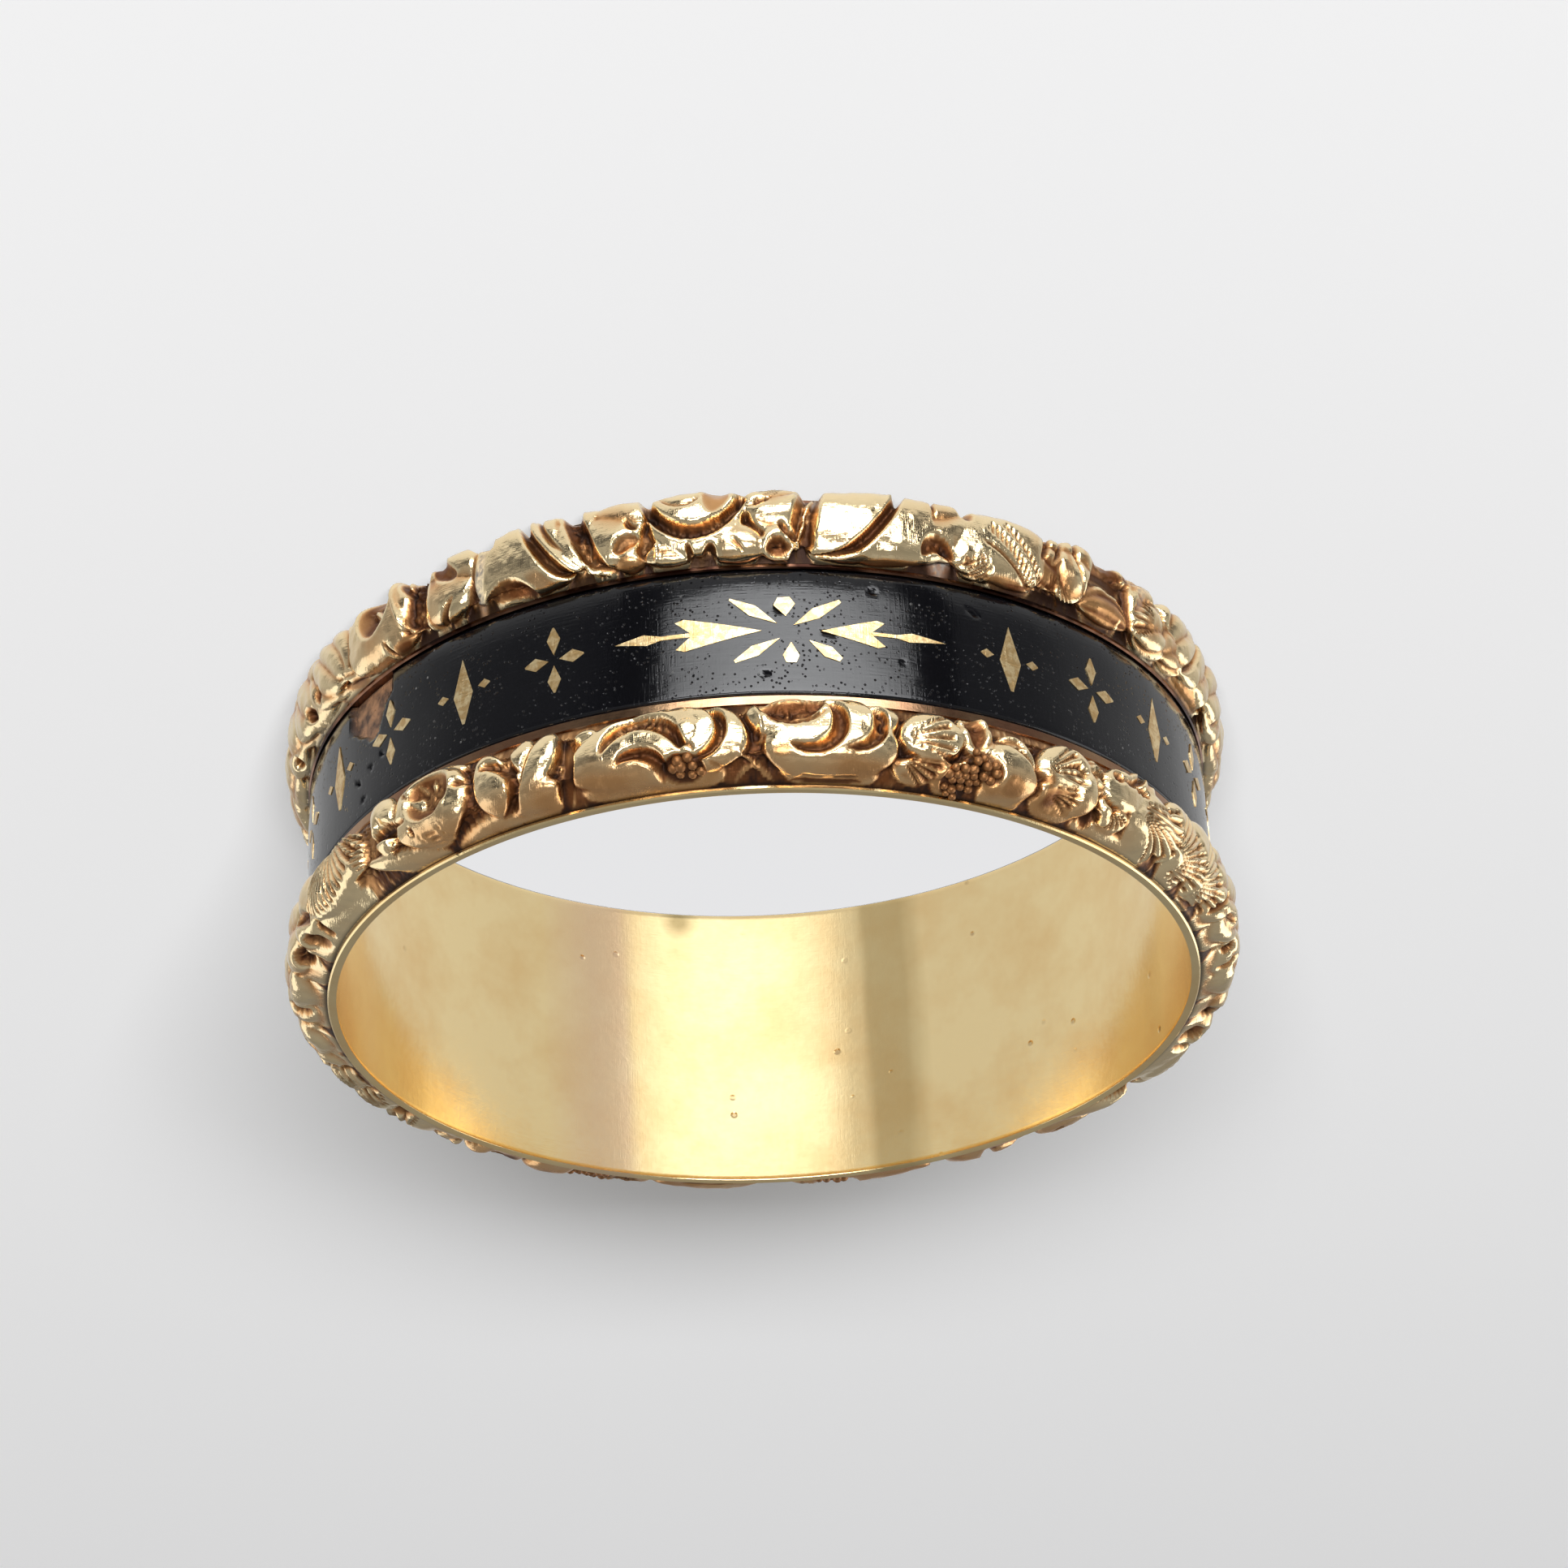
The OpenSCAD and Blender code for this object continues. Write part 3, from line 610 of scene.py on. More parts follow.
@dataclass
class ReliefField:
    """Height, stain and residue over the charted half of a border.

    Args:
        face_length: length across the border's face, in millimetres.
        crest_r: radius on which lengths round the ring are measured.
        up: +1 where the picture's up runs from the rim inwards, -1 if it runs outwards.
        spread: how much the pads are grown along and across, so that they close up.
        charted: share of the face that the chart covers; the rest stays bare ground.
        ledge_soot_and_shade: shares of the chart between which soot and painted shade grow towards
            the ledge, and how much.
        down_face_shade: painted shade, as brown tarnish on the faces that look down in the picture.
        columns: grid points round the charted half.
        rows: grid points across the face.
        span: degrees that the chart covers.
        ground_stain: share of tarnish on the sunk ground.
        lowest: lowest height left after the roughening.
        highest: greatest height left after it.
        berries: place, size and ground of each berry, found while building.
    """

    face_length: float
    crest_r: float
    up: int
    spread: tuple[float, float]
    charted: float = 1.0
    ledge_soot_and_shade: tuple[float, float, float] = (0.95, 0.995, 0.35)
    down_face_shade: float = 0.0
    columns: int = 1200
    rows: int = 58
    span: float = 180.0
    ground_stain: float = 0.85
    lowest: float = -0.15
    highest: float = 1.12
    berries: list = field(default_factory=list)

    # Bow below which an arc is drawn as a straight line
    STRAIGHT = 0.02
    # Height above which metal counts as raised, for flutes and hatching
    RAISED = 0.3
    # Depth and tarnish of a pad's veins
    VEIN_DEEP, VEIN_STAIN = 0.3, 0.55
    # Width of a cut's burr, in millimetres, and height and width of a pit's rim
    BURR_W, PIT_RIM, PIT_RIM_W = 0.022, 0.05, 0.05
    # Berries: steps tried each way, then step, rise of a row and jitter as shares
    BERRY_REACH, BERRY_STEP, BERRY_ROW, BERRY_JITTER = 12, 0.92, 0.87, 0.22

    def __post_init__(self) -> None:
        """Lays out the grid and the sunk ground."""
        self.angles = np.arange(self.columns) * self.span / self.columns - self.span / 2
        self.shares = np.linspace(0, 1, self.rows)
        self.theta, self.share = np.meshgrid(
            self.angles, self.shares * self.charted, indexing="ij"
        )
        self.height = np.zeros_like(self.theta)
        self.stain = np.full_like(self.theta, self.ground_stain)
        self.grey = np.zeros_like(self.theta)
        near_seam = 1 - smoothstep(0.0, 0.05, self.share)
        # Towards the ledge the face darkens: soot, and on the lower border strong painted shade
        # under its petals
        start, full, amount = self.ledge_soot_and_shade
        near_ledge_shade = smoothstep(start, full, self.share) * amount
        self.soot = np.clip(near_seam + near_ledge_shade, 0, 1)

    def local(self, angle: float, across: float) -> tuple[Grid, Grid]:
        """Millimetres to the right and up from a charted point, as seen in the picture."""
        turn = np.mod(self.theta - angle + self.span / 2, self.span) - self.span / 2
        return turn * RAD * self.crest_r, self.up * (self.share - across) * self.face_length

    def oval(self, row: Patch) -> tuple[Grid, Grid]:
        """Coordinates in a turned oval, 1 at its ends.

        Args:
            row: ornament that fills the oval.

        Returns:
            The coordinate along the span and the one along the reach.
        """
        x, y = self.local(row.angle, row.across)
        c, s = math.cos(row.turn * RAD), math.sin(row.turn * RAD)
        half_x, half_y = self.halves(row)
        return (x * c + y * s) / half_x, (y * c - x * s) / half_y

    def halves(self, row: Patch) -> tuple[float, float]:
        """Half length and half width of an oval, in millimetres."""
        return row.span * RAD * self.crest_r / 2, row.reach * self.face_length / 2

    def arc(self, row: Stroke) -> tuple[Grid, Grid]:
        """Coordinates along an arc from one charted point to another.

        Args:
            row: ornament with the two ends and a bow.

        Returns:
            The share along the arc and the distance to its left.
        """
        x, y = self.local(row.angle, row.across)
        dx = (row.to_angle - row.angle) * RAD * self.crest_r
        dy = self.up * (row.to_across - row.across) * self.face_length
        chord = math.hypot(dx, dy)
        along = (x * dx + y * dy) / chord
        left = (y * dx - x * dy) / chord
        if abs(row.bow) < self.STRAIGHT:
            return along / chord, left
        sag = row.bow * chord
        radius = (chord * chord / 4 + sag * sag) / (2 * sag)
        ax, ay = along - chord / 2, left - (sag - radius)
        sign = 1 if radius > 0 else -1
        swing = np.arctan2(ax, sign * ay)
        half = math.atan2(chord / 2, sign * (radius - sag))
        left = (np.hypot(ax, ay) - abs(radius)) * sign
        return swing / (2 * half) + 0.5, left

    def shade(self, amount: Grid) -> None:
        """Adds to the tarnish, which stays from 0 to 1."""
        self.stain = np.clip(self.stain + amount, 0, 1)

    def add_pad(self, row: Pad) -> None:
        """Raises a pad out of the ground.

        Args:
            row: the pad.
        """
        p, q = self.oval(row)
        p, q = p / self.spread[0], q / self.spread[1]
        q = q - row.bend * (1 - np.clip(p * p, 0, 1))
        narrow = np.clip(1 - p * p, 1e-4, 1) ** row.point
        inside = 1 - p * p - q * q / narrow
        full = np.clip(inside, 0, 1)
        crown = row.top * full**row.wall - row.dish * full**2
        wins = (inside > 0) & (crown > self.height)
        edge = smoothstep(0.0, 0.12, full)
        tone = 0.75 * (1 - edge) + row.stain * edge
        if row.veins:
            lanes = row.veins + 1
            lane = np.clip(q / np.sqrt(np.clip(1 - p * p, 0.02, 1)), -1, 1)
            groove = 1 - np.abs(np.cos((lane + 1) / 2 * math.pi * lanes)) ** 0.5
            groove = groove * smoothstep(0.05, 0.35, full) * (np.abs(lane) < 1 - 0.5 / lanes)
            crown = crown - self.VEIN_DEEP * groove
            tone = np.clip(tone + self.VEIN_STAIN * groove, 0, 1)
        self.height = np.where(wins, crown, self.height)
        self.stain = np.where(wins, tone, self.stain)

    def add_cut(self, row: Cut) -> None:
        """Cuts a groove, or raises a rib where its depth is negative.

        Args:
            row: the groove.
        """
        p, off = self.arc(row)
        on = (p > 0) & (p < 1)
        run = np.clip(p, 1e-6, 1) ** row.fat
        taper = np.clip(4 * run * (1 - run), 0, 1) ** row.taper
        half = np.maximum(row.wide * self.face_length / 2 * taper, 1e-4)
        q = off / half
        steep, soft = 2 + 6 * abs(row.lean), 2 - 0.9 * abs(row.lean)
        power = np.where(q * (row.lean or 1.0) > 0, steep, soft)
        bowl = np.where(on, np.clip(1 - np.abs(q) ** power, 0, 1), 0)
        depth = row.deep * bowl * np.minimum(1, taper * 1.2)
        edge = np.where(on, np.exp(-(((np.abs(q) - 1.0) * half / self.BURR_W) ** 2)), 0)
        edge = edge * np.minimum(1, taper * 1.5)
        self.height = self.height - depth + row.lip * edge
        mark = smoothstep(0.0, 0.35, bowl)
        self.stain = self.stain * (1 - mark) + max(row.stain, 0) * mark
        self.shade(-0.5 * edge * (row.lip > 0))

    def add_fan(self, row: Fan) -> None:
        """Cuts the flutes of a fan, on raised metal only.

        Args:
            row: the fan.
        """
        x, y = self.local(row.angle, row.across)
        radius = np.hypot(x, y)
        middle = (row.start + row.end) / 2
        swing = np.mod(np.degrees(np.arctan2(y, x)) - middle + 180, 360) - 180
        half = (row.end - row.start) / 2
        mask = smoothstep(row.inner, row.inner + 0.15, radius)
        mask = mask * (1 - smoothstep(row.outer - 0.12, row.outer, radius))
        mask = mask * (np.abs(swing) < half) * (self.height > self.RAISED)
        wave = np.abs(np.sin((swing + half) / (2 * half) * math.pi * row.count)) ** 0.9
        self.height = self.height - 1.5 * row.deep * (1 - wave) * mask
        self.shade(1.3 * row.stain * (1 - wave) * mask)

    def add_hatch(self, row: Hatch) -> None:
        """Cuts short strokes along a spine, on raised metal only.

        Args:
            row: the hatching.
        """
        p, off = self.arc(row)
        q = off / (row.wide * self.face_length / 2)
        on = smoothstep(0, 0.04, p) * (1 - smoothstep(0.96, 1, p))
        on = on * (1 - smoothstep(0.75, 1.0, np.abs(q))) * (self.height > self.RAISED)
        wave = 0.5 + 0.5 * np.cos(2 * math.pi * (p * row.count + row.slant * q * 1.5))
        self.height = self.height - row.deep * wave**1.5 * on
        self.shade(row.stain * wave**1.3 * on)

    def add_pit(self, row: Pit) -> None:
        """Sinks a pit, or raises a knob where its depth is negative.

        Args:
            row: the pit.
        """
        p, q = self.oval(row)
        rho = np.sqrt(p * p + q * q)
        bowl = np.clip(1 - rho**row.steep, 0, 1)
        self.height = self.height - row.deep * bowl
        mark = smoothstep(0, 0.4, bowl)
        self.stain = self.stain * (1 - mark) + row.stain * mark
        if row.deep > 0:
            lip = np.exp(-(((rho - 1.04) / self.PIT_RIM_W) ** 2))
            self.height = self.height + self.PIT_RIM * lip
            self.shade(-0.5 * lip)

    def add_berries(self, row: Berries) -> None:
        """Sinks the ground of a patch of berries and notes their places.

        Args:
            row: the patch.
        """
        p, q = self.oval(row)
        rho = np.sqrt(p * p + q * q)
        patch = 1 - smoothstep(0.85, 1.05, rho)
        sunk = np.minimum(self.height, 1 - row.deep)
        self.height = self.height * (1 - patch) + sunk * patch
        self.stain = self.stain * (1 - patch) + row.stain * patch
        self.soot = np.maximum(self.soot, 0.7 * patch)
        half_x, half_y = self.halves(row)
        rng = np.random.default_rng(int(abs(row.angle) * 10))
        step, jitter = row.size * self.BERRY_STEP, self.BERRY_JITTER
        tries = range(-self.BERRY_REACH, self.BERRY_REACH + 1)
        c, s = math.cos(row.turn * RAD), math.sin(row.turn * RAD)
        for i in tries:
            for j in tries:
                x = (i + 0.5 * (j % 2)) * step + rng.uniform(-jitter, jitter) * step
                y = j * step * self.BERRY_ROW + rng.uniform(-jitter, jitter) * step
                if (x / half_x) ** 2 + (y / half_y) ** 2 > 0.92:
                    continue
                angle = row.angle + (x * c - y * s) / (RAD * self.crest_r)
                share = row.across + self.up * (x * s + y * c) / self.face_length
                size = row.size * rng.uniform(0.36, 0.5)
                self.berries.append((angle, share, size, 1 - row.deep))

    def add_tarnish(self, row: Tarnish) -> None:
        """Colours a patch without changing its shape.

        Args:
            row: the patch.
        """
        p, q = self.oval(row)
        patch = 1 - smoothstep(0.45, 1.0, np.sqrt(p * p + q * q))
        self.shade(row.stain * patch)
        self.grey = np.clip(self.grey + row.grey * patch, 0, 1)

    def build(self, chart: list) -> None:
        """Works the chart: pads first, fine strokes last.

        Args:
            chart: rows of the border's ornament.
        """
        work = {
            Pad: self.add_pad, Cut: self.add_cut, Pit: self.add_pit, Berries: self.add_berries,
            Tarnish: self.add_tarnish, Fan: self.add_fan, Hatch: self.add_hatch,
        }
        for kinds in ((Pad,), (Cut, Pit, Berries, Tarnish), (Fan, Hatch)):
            if Fan in kinds:
                self.height = self.soften(self.height, 0.6)
            for row in chart:
                if isinstance(row, kinds):
                    work[type(row)](row)
        self.finish()

    def finish(self) -> None:
        """Roughens the metal, wears its edges, darkens its hollows and paints shade on the faces
        that look down.
        """
        low = 1 - smoothstep(0.15, 0.5, self.height)
        rough = self.noise(0.07, 11) + 0.6 * self.noise(0.035, 12)
        self.height = self.height + 0.15 * rough * low
        facets = self.noise(0.34, 14) + 0.45 * self.noise(0.15, 15)
        self.height = self.height + 0.05 * facets * (1 - low)
        self.height = np.clip(self.height, self.lowest, self.highest)
        self.height = self.soften(self.height, 0.2)
        self.stain = self.soften(self.stain, 0.3)
        hollow = self.blur(self.height) - self.height
        dark, worn = smoothstep(0.03, 0.28, hollow), smoothstep(0.02, 0.16, -hollow)
        self.stain = np.clip(self.stain + 0.7 * dark - 0.6 * worn, 0, 1)
        self.soot = np.clip(self.soot + 0.55 * dark, 0, 1)
        drift = self.noise(0.5, 13)
        # Painted shade: more brown tarnish on the faces that look down, in front of the ring only
        front = 1 - smoothstep(36, 56, np.abs(self.theta))
        lower_face = 1 - smoothstep(0.18, 0.48, self.share)
        self.stain = self.stain + self.down_face_shade * front * lower_face
        deep = 1 - smoothstep(0.0, 0.3, self.height)
        self.soot = np.clip(self.soot + 0.55 * deep * (0.6 + 0.8 * drift), 0, 1)
        self.soot = self.soot * (1 - self.grey)
        self.stain = np.clip(self.stain * (1 + 0.25 * drift) + 0.05 * drift, 0, 1)

    def noise(self, cell: float, seed: int) -> Grid:
        """Smooth random field over the border's face, from -1 to 1, with lumps of a size."""
        u, v = self.theta * RAD * self.crest_r, self.share * self.face_length
        return value_noise(u, v, cell, seed, self.span * RAD * self.crest_r)

    def blur(self, grid: Grid) -> Grid:
        """Mean of each value's surroundings, about a sixth of a millimetre each way.

        Args:
            grid: values, round the ring first.

        Returns:
            The means.
        """
        shifts = range(-6, 7, 2)
        grid = sum(np.roll(grid, k, 0) for k in shifts) / len(shifts)
        padded = np.pad(grid, ((0, 0), (3, 3)), mode="edge")
        return sum(padded[:, k:k + self.rows] for k in range(7)) / 7

    def soften(self, grid: Grid, blend: float) -> Grid:
        """Blends each value with its neighbours.

        Args:
            grid: values, round the ring first.
            blend: share taken from the neighbours.

        Returns:
            The softened values.
        """
        round_ring = (np.roll(grid, 1, 0) + np.roll(grid, -1, 0)) / 2
        grid = grid * (1 - blend) + round_ring * blend
        padded = np.pad(grid, ((0, 0), (1, 1)), mode="edge")
        across = (padded[:, 2:] + padded[:, :-2]) / 2
        return grid * (1 - blend * 0.5) + across * blend * 0.5


@dataclass(frozen=True)
class ChasedGold:
    """Bright cast gold with brown tarnish in its hollows.

    Args:
        name: name of the material.
        bright: colour of the rubbed metal.
        warm: colour of the metal under a thin layer of tarnish.
        brown: colour of the tarnish.
        grey: colour of the dried residue.
        soot: colour of the black left in the deepest hollows, and of the painted shade towards the
            lower border's ledge.
        relief: depth of a full step of the surface's bumps, in metres.
    """

    name: str = "chased_gold"
    bright: Colour = (0.95, 0.76, 0.45)
    warm: Colour = (0.74, 0.4, 0.165)
    brown: Colour = (0.15, 0.05, 0.013)
    grey: Colour = (0.17, 0.15, 0.13)
    soot: Colour = (0.016, 0.008, 0.006)
    relief: float = 0.00002

    def material(self) -> bpy.types.Material:
        """Builds the node material.

        Returns:
            The material.
        """
        kit = Nodes(self.name)
        stain = kit.attribute("stain")
        grey = kit.attribute("grey")
        cloud = kit.noise(900.0, 4.0, 0.6)
        speck = kit.noise(9000.0, 3.0, 0.6)
        wavering = kit.scaled(cloud, 0.35, -0.17)
        amount = kit.math("ADD", stain, wavering, clamp=True)
        filmed = kit.ramp(amount, [(0.0, 0.0), (0.45, 1.0)])
        browned = kit.ramp(amount, [(0.4, 0.0), (1.0, 1.0)])
        crumbs = kit.ramp(speck, [(0.36, 0.35), (0.62, 1.0)])
        tone = kit.mix(browned, kit.mix(filmed, self.bright, self.warm), self.brown)
        tone = kit.mix(kit.times(grey, crumbs), tone, self.grey)
        # Black of the soot in the hollows, and painted shade towards the lower border's ledge
        tone = kit.mix(kit.times(kit.attribute("soot"), 0.92), tone, self.soot)
        matt = kit.scaled(amount, 0.3, 0.12)
        matt = kit.scaled(grey, 0.4, matt)
        matt = kit.scaled(speck, 0.06, matt)
        crusted = kit.ramp(amount, [(0.55, 0.0), (1.0, 1.0)])
        metallic = kit.scaled(crusted, -0.22, 1.0)
        metallic = kit.math("MULTIPLY_ADD", grey, -0.9, metallic, clamp=True)
        kit.feed(Base_Color=tone, Roughness=matt, Metallic=metallic)
        scratch = kit.scratches(2600.0)
        crust = kit.times(kit.noise(4200.0, 4.0, 0.65), amount)
        hammer = kit.noise(1700.0, 3.0, 0.55)
        nicks = kit.noise(3600.0, 3.0, 0.6)
        layers = [(scratch, 0.26), (speck, 0.12), (crust, 0.9), (hammer, 1.3), (nicks, 0.5)]
        kit.bump(layers, self.relief)
        return kit.material


@dataclass(frozen=True)
class SatinGold:
    """Worn gold of the inner wall, the ledges and the flat figures.

    Args:
        name: name of the material.
        tint: colour of the metal.
        deep: colour of its darker drifts.
        roughness: how satin it is.
        streak: how strong the polishing streaks are.
        drift: share of the darker drifts.
        speckle: share of fine dark speckles.
        wall_marks_and_reflection_bands: share of the inner wall's pocks and streaks, and of two
            upright stripes of painted reflection beside the bright middle of the inner wall.
        reflection_band_dark: colour of the dark stripe of painted reflection.
        reflection_band_pale: colour of the pale stripe of painted reflection.
        nick_place: place of a small dark nick at the rim, in metres.
        nick_brown: colour of the nick.
        pock_brown: colour of small pocks in patches of the inner wall.
        copper: colour of a tarnished ledge.
        soot: colour of soot beside the relief, and of painted shade on the lower ledge.
        relief: depth of a full step of the surface's bumps, in metres.
    """

    name: str = "satin_gold"
    tint: Colour = (0.96, 0.76, 0.4)
    deep: Colour = (0.84, 0.56, 0.24)
    roughness: float = 0.14
    streak: float = 0.08
    drift: float = 0.6
    speckle: float = 0.0
    wall_marks_and_reflection_bands: float = 0.0
    reflection_band_dark: Colour = (0.34, 0.24, 0.08)
    reflection_band_pale: Colour = (0.8, 0.56, 0.42)
    nick_place: tuple[float, float, float] = (0.0019, 0.0088, 0.0002)
    nick_brown: Colour = (0.3, 0.22, 0.09)
    pock_brown: Colour = (0.16, 0.07, 0.03)
    copper: Colour = (0.34, 0.17, 0.1)
    soot: Colour = (0.022, 0.009, 0.006)
    relief: float = 0.00002

    def material(self) -> bpy.types.Material:
        """Builds the node material.

        Returns:
            The material.
        """
        kit = Nodes(self.name)
        cloud = kit.noise(420.0, 4.0, 0.65)
        fine = kit.noise(7000.0, 3.0, 0.6)
        drawn = kit.noise(700.0, 3.0, 0.6, kit.stretched((1.0, 1.0, 0.12)))
        pocks = self.pocks(kit)
        drifts = kit.ramp(cloud, [(0.4, 0.0), (0.66, self.drift)])
        grain = kit.ramp(kit.noise(5200.0, 4.0, 0.7), [(0.44, 1.0), (0.58, 0.0)])
        tone = kit.mix(drifts, self.tint, self.deep)
        tone = kit.mix(kit.times(grain, self.speckle), tone, self.deep)
        # Painted reflection: a dark and a pale upright stripe beside the bright middle of the far
        # inner wall
        dark, pale = self.painted_reflection_bands(kit, drawn)
        tone = kit.mix(dark, tone, self.reflection_band_dark)
        tone = kit.mix(self.nick(kit), tone, self.nick_brown)
        tone = kit.mix(pocks, tone, self.pock_brown)
        tone = kit.mix(pale, tone, self.reflection_band_pale)
        patchy = kit.scaled(cloud, 0.9, 0.55)
        stain = kit.math("MULTIPLY", kit.attribute("stain"), patchy, clamp=True)
        tone = kit.mix(kit.ramp(stain, [(0.0, 0.0), (0.7, 1.0)]), tone, self.copper)
        # Soot beside the relief, and painted shade on the lower ledge
        tone = kit.mix(kit.ramp(stain, [(0.75, 0.0), (1.0, 1.0)]), tone, self.soot)
        matt = kit.scaled(fine, 0.14, self.roughness - 0.05)
        matt = kit.scaled(cloud, 0.08, matt)
        kit.feed(Base_Color=tone, Roughness=matt, Metallic=1.0)
        wave = kit.times(drawn, self.wall_marks_and_reflection_bands)
        layers = [(kit.scratches(2200.0), self.streak), (fine, 0.1), (pocks, -1.5), (wave, 0.6)]
        kit.bump(layers, self.relief)
        return kit.material

    def painted_reflection_bands(self, kit: "Nodes", drawn: Socket) -> tuple[Socket, Socket]:
        """Two upright stripes of painted reflection, dark and pale, on the inner wall that faces
        the eye.

        Args:
            kit: the material that is built.
            drawn: noise that makes the stripes' edges waver.

        Returns:
            The share of the dark band and that of the pale one.
        """
        x, y, _ = kit.axes(kit.place)
        # The wall's width, 20 mm, is mapped to the span from 0 to 1
        across = kit.scaled(x, 50.0, 0.5)
        across = kit.scaled(drawn, 0.05, across)
        dark = kit.ramp(across, [(0.345, 0.0), (0.37, 1.0), (0.405, 1.0), (0.42, 0.0)])
        pale = kit.ramp(across, [(0.67, 0.0), (0.69, 1.0), (0.72, 1.0), (0.77, 0.0)])
        # The painted reflection lies only on the far half of the wall, which faces the eye
        far = kit.math("GREATER_THAN", y, 0.0)
        shown = kit.times(far, self.wall_marks_and_reflection_bands)
        return kit.times(dark, shown), kit.times(pale, shown)

    def pocks(self, kit: "Nodes") -> Socket:
        """Small pocks in patches of the inner wall.

        Args:
            kit: the material that is built.

        Returns:
            The share of the pocks.
        """
        patches = kit.ramp(kit.noise(300.0, 3.0, 0.6), [(0.5, 0.0), (0.58, 1.0)])
        pocks = kit.ramp(kit.voronoi(1500.0), [(0.0, 1.0), (0.07, 1.0), (0.13, 0.0)])
        return kit.times(kit.times(pocks, patches), self.wall_marks_and_reflection_bands)

    def nick(self, kit: "Nodes") -> Socket:
        """Small dark nick at the rim, faded outwards from its place.

        Args:
            kit: the material that is built.

        Returns:
            The share of the nick.
        """
        gap = kit.add("ShaderNodeVectorMath", {"operation": "DISTANCE"}, Vector=kit.place)
        kit.put(gap.inputs[1], self.nick_place)
        millimetres = kit.times(gap.outputs["Value"], 1 / MM)
        return kit.ramp(millimetres, [(0.12, 0.75), (0.5, 0.0)])


@dataclass(frozen=True)
class BlackEnamel:
    """Glossy black enamel with fine pits, dust and hairline scratches.

    Args:
        colour: colour of the enamel.
        dust: colour of the dust on it.
        ground: colour of the ground in the chipped place.
        burnt: colour of the dark patches of that ground.
        relief: depth of a full step of the surface's bumps, in metres.
    """

    colour: Colour = (0.002, 0.002, 0.0026)
    dust: Colour = (0.09, 0.087, 0.083)
    ground: Colour = (0.26, 0.13, 0.06)
    burnt: Colour = (0.05, 0.025, 0.015)
    relief: float = 0.00002

    def material(self) -> bpy.types.Material:
        """Builds the node material.

        Returns:
            The material.
        """
        kit = Nodes("black_enamel")
        holes = kit.ramp(kit.voronoi(9500.0), [(0.0, 0.8), (0.14, 0.8), (0.26, 0.0)])
        sparse = kit.ramp(kit.noise(1500.0, 4.0, 0.7), [(0.47, 0.0), (0.58, 1.0)])
        holes = kit.times(holes, sparse)
        holes = kit.math("MAXIMUM", holes, kit.attribute("mark"))
        dust = kit.ramp(kit.voronoi(4600.0), [(0.0, 1.0), (0.1, 1.0), (0.15, 0.0)])
        few = kit.ramp(kit.noise(1300.0, 2.0, 0.5), [(0.6, 0.0), (0.7, 1.0)])
        dust = kit.times(dust, few)
        chip = kit.attribute("chip")
        tone = kit.mix(dust, self.colour, self.dust)
        patchy = kit.ramp(kit.noise(2600.0, 4.0, 0.65), [(0.38, 0.0), (0.62, 1.0)])
        tone = kit.mix(chip, tone, kit.mix(patchy, self.ground, self.burnt))
        fine = kit.noise(5200.0, 3.0, 0.6)
        matt = kit.scaled(fine, 0.1, 0.05)
        matt = kit.scaled(dust, 0.5, matt)
        matt = kit.scaled(chip, 0.4, matt)
        gloss = kit.scaled(holes, -0.4, 0.4)
        kit.feed(Base_Color=tone, Roughness=matt, Specular_IOR_Level=gloss)
        kit.bump([(holes, -0.8), (kit.scratches(1500.0), 0.12), (fine, 0.05)], self.relief)
        return kit.material


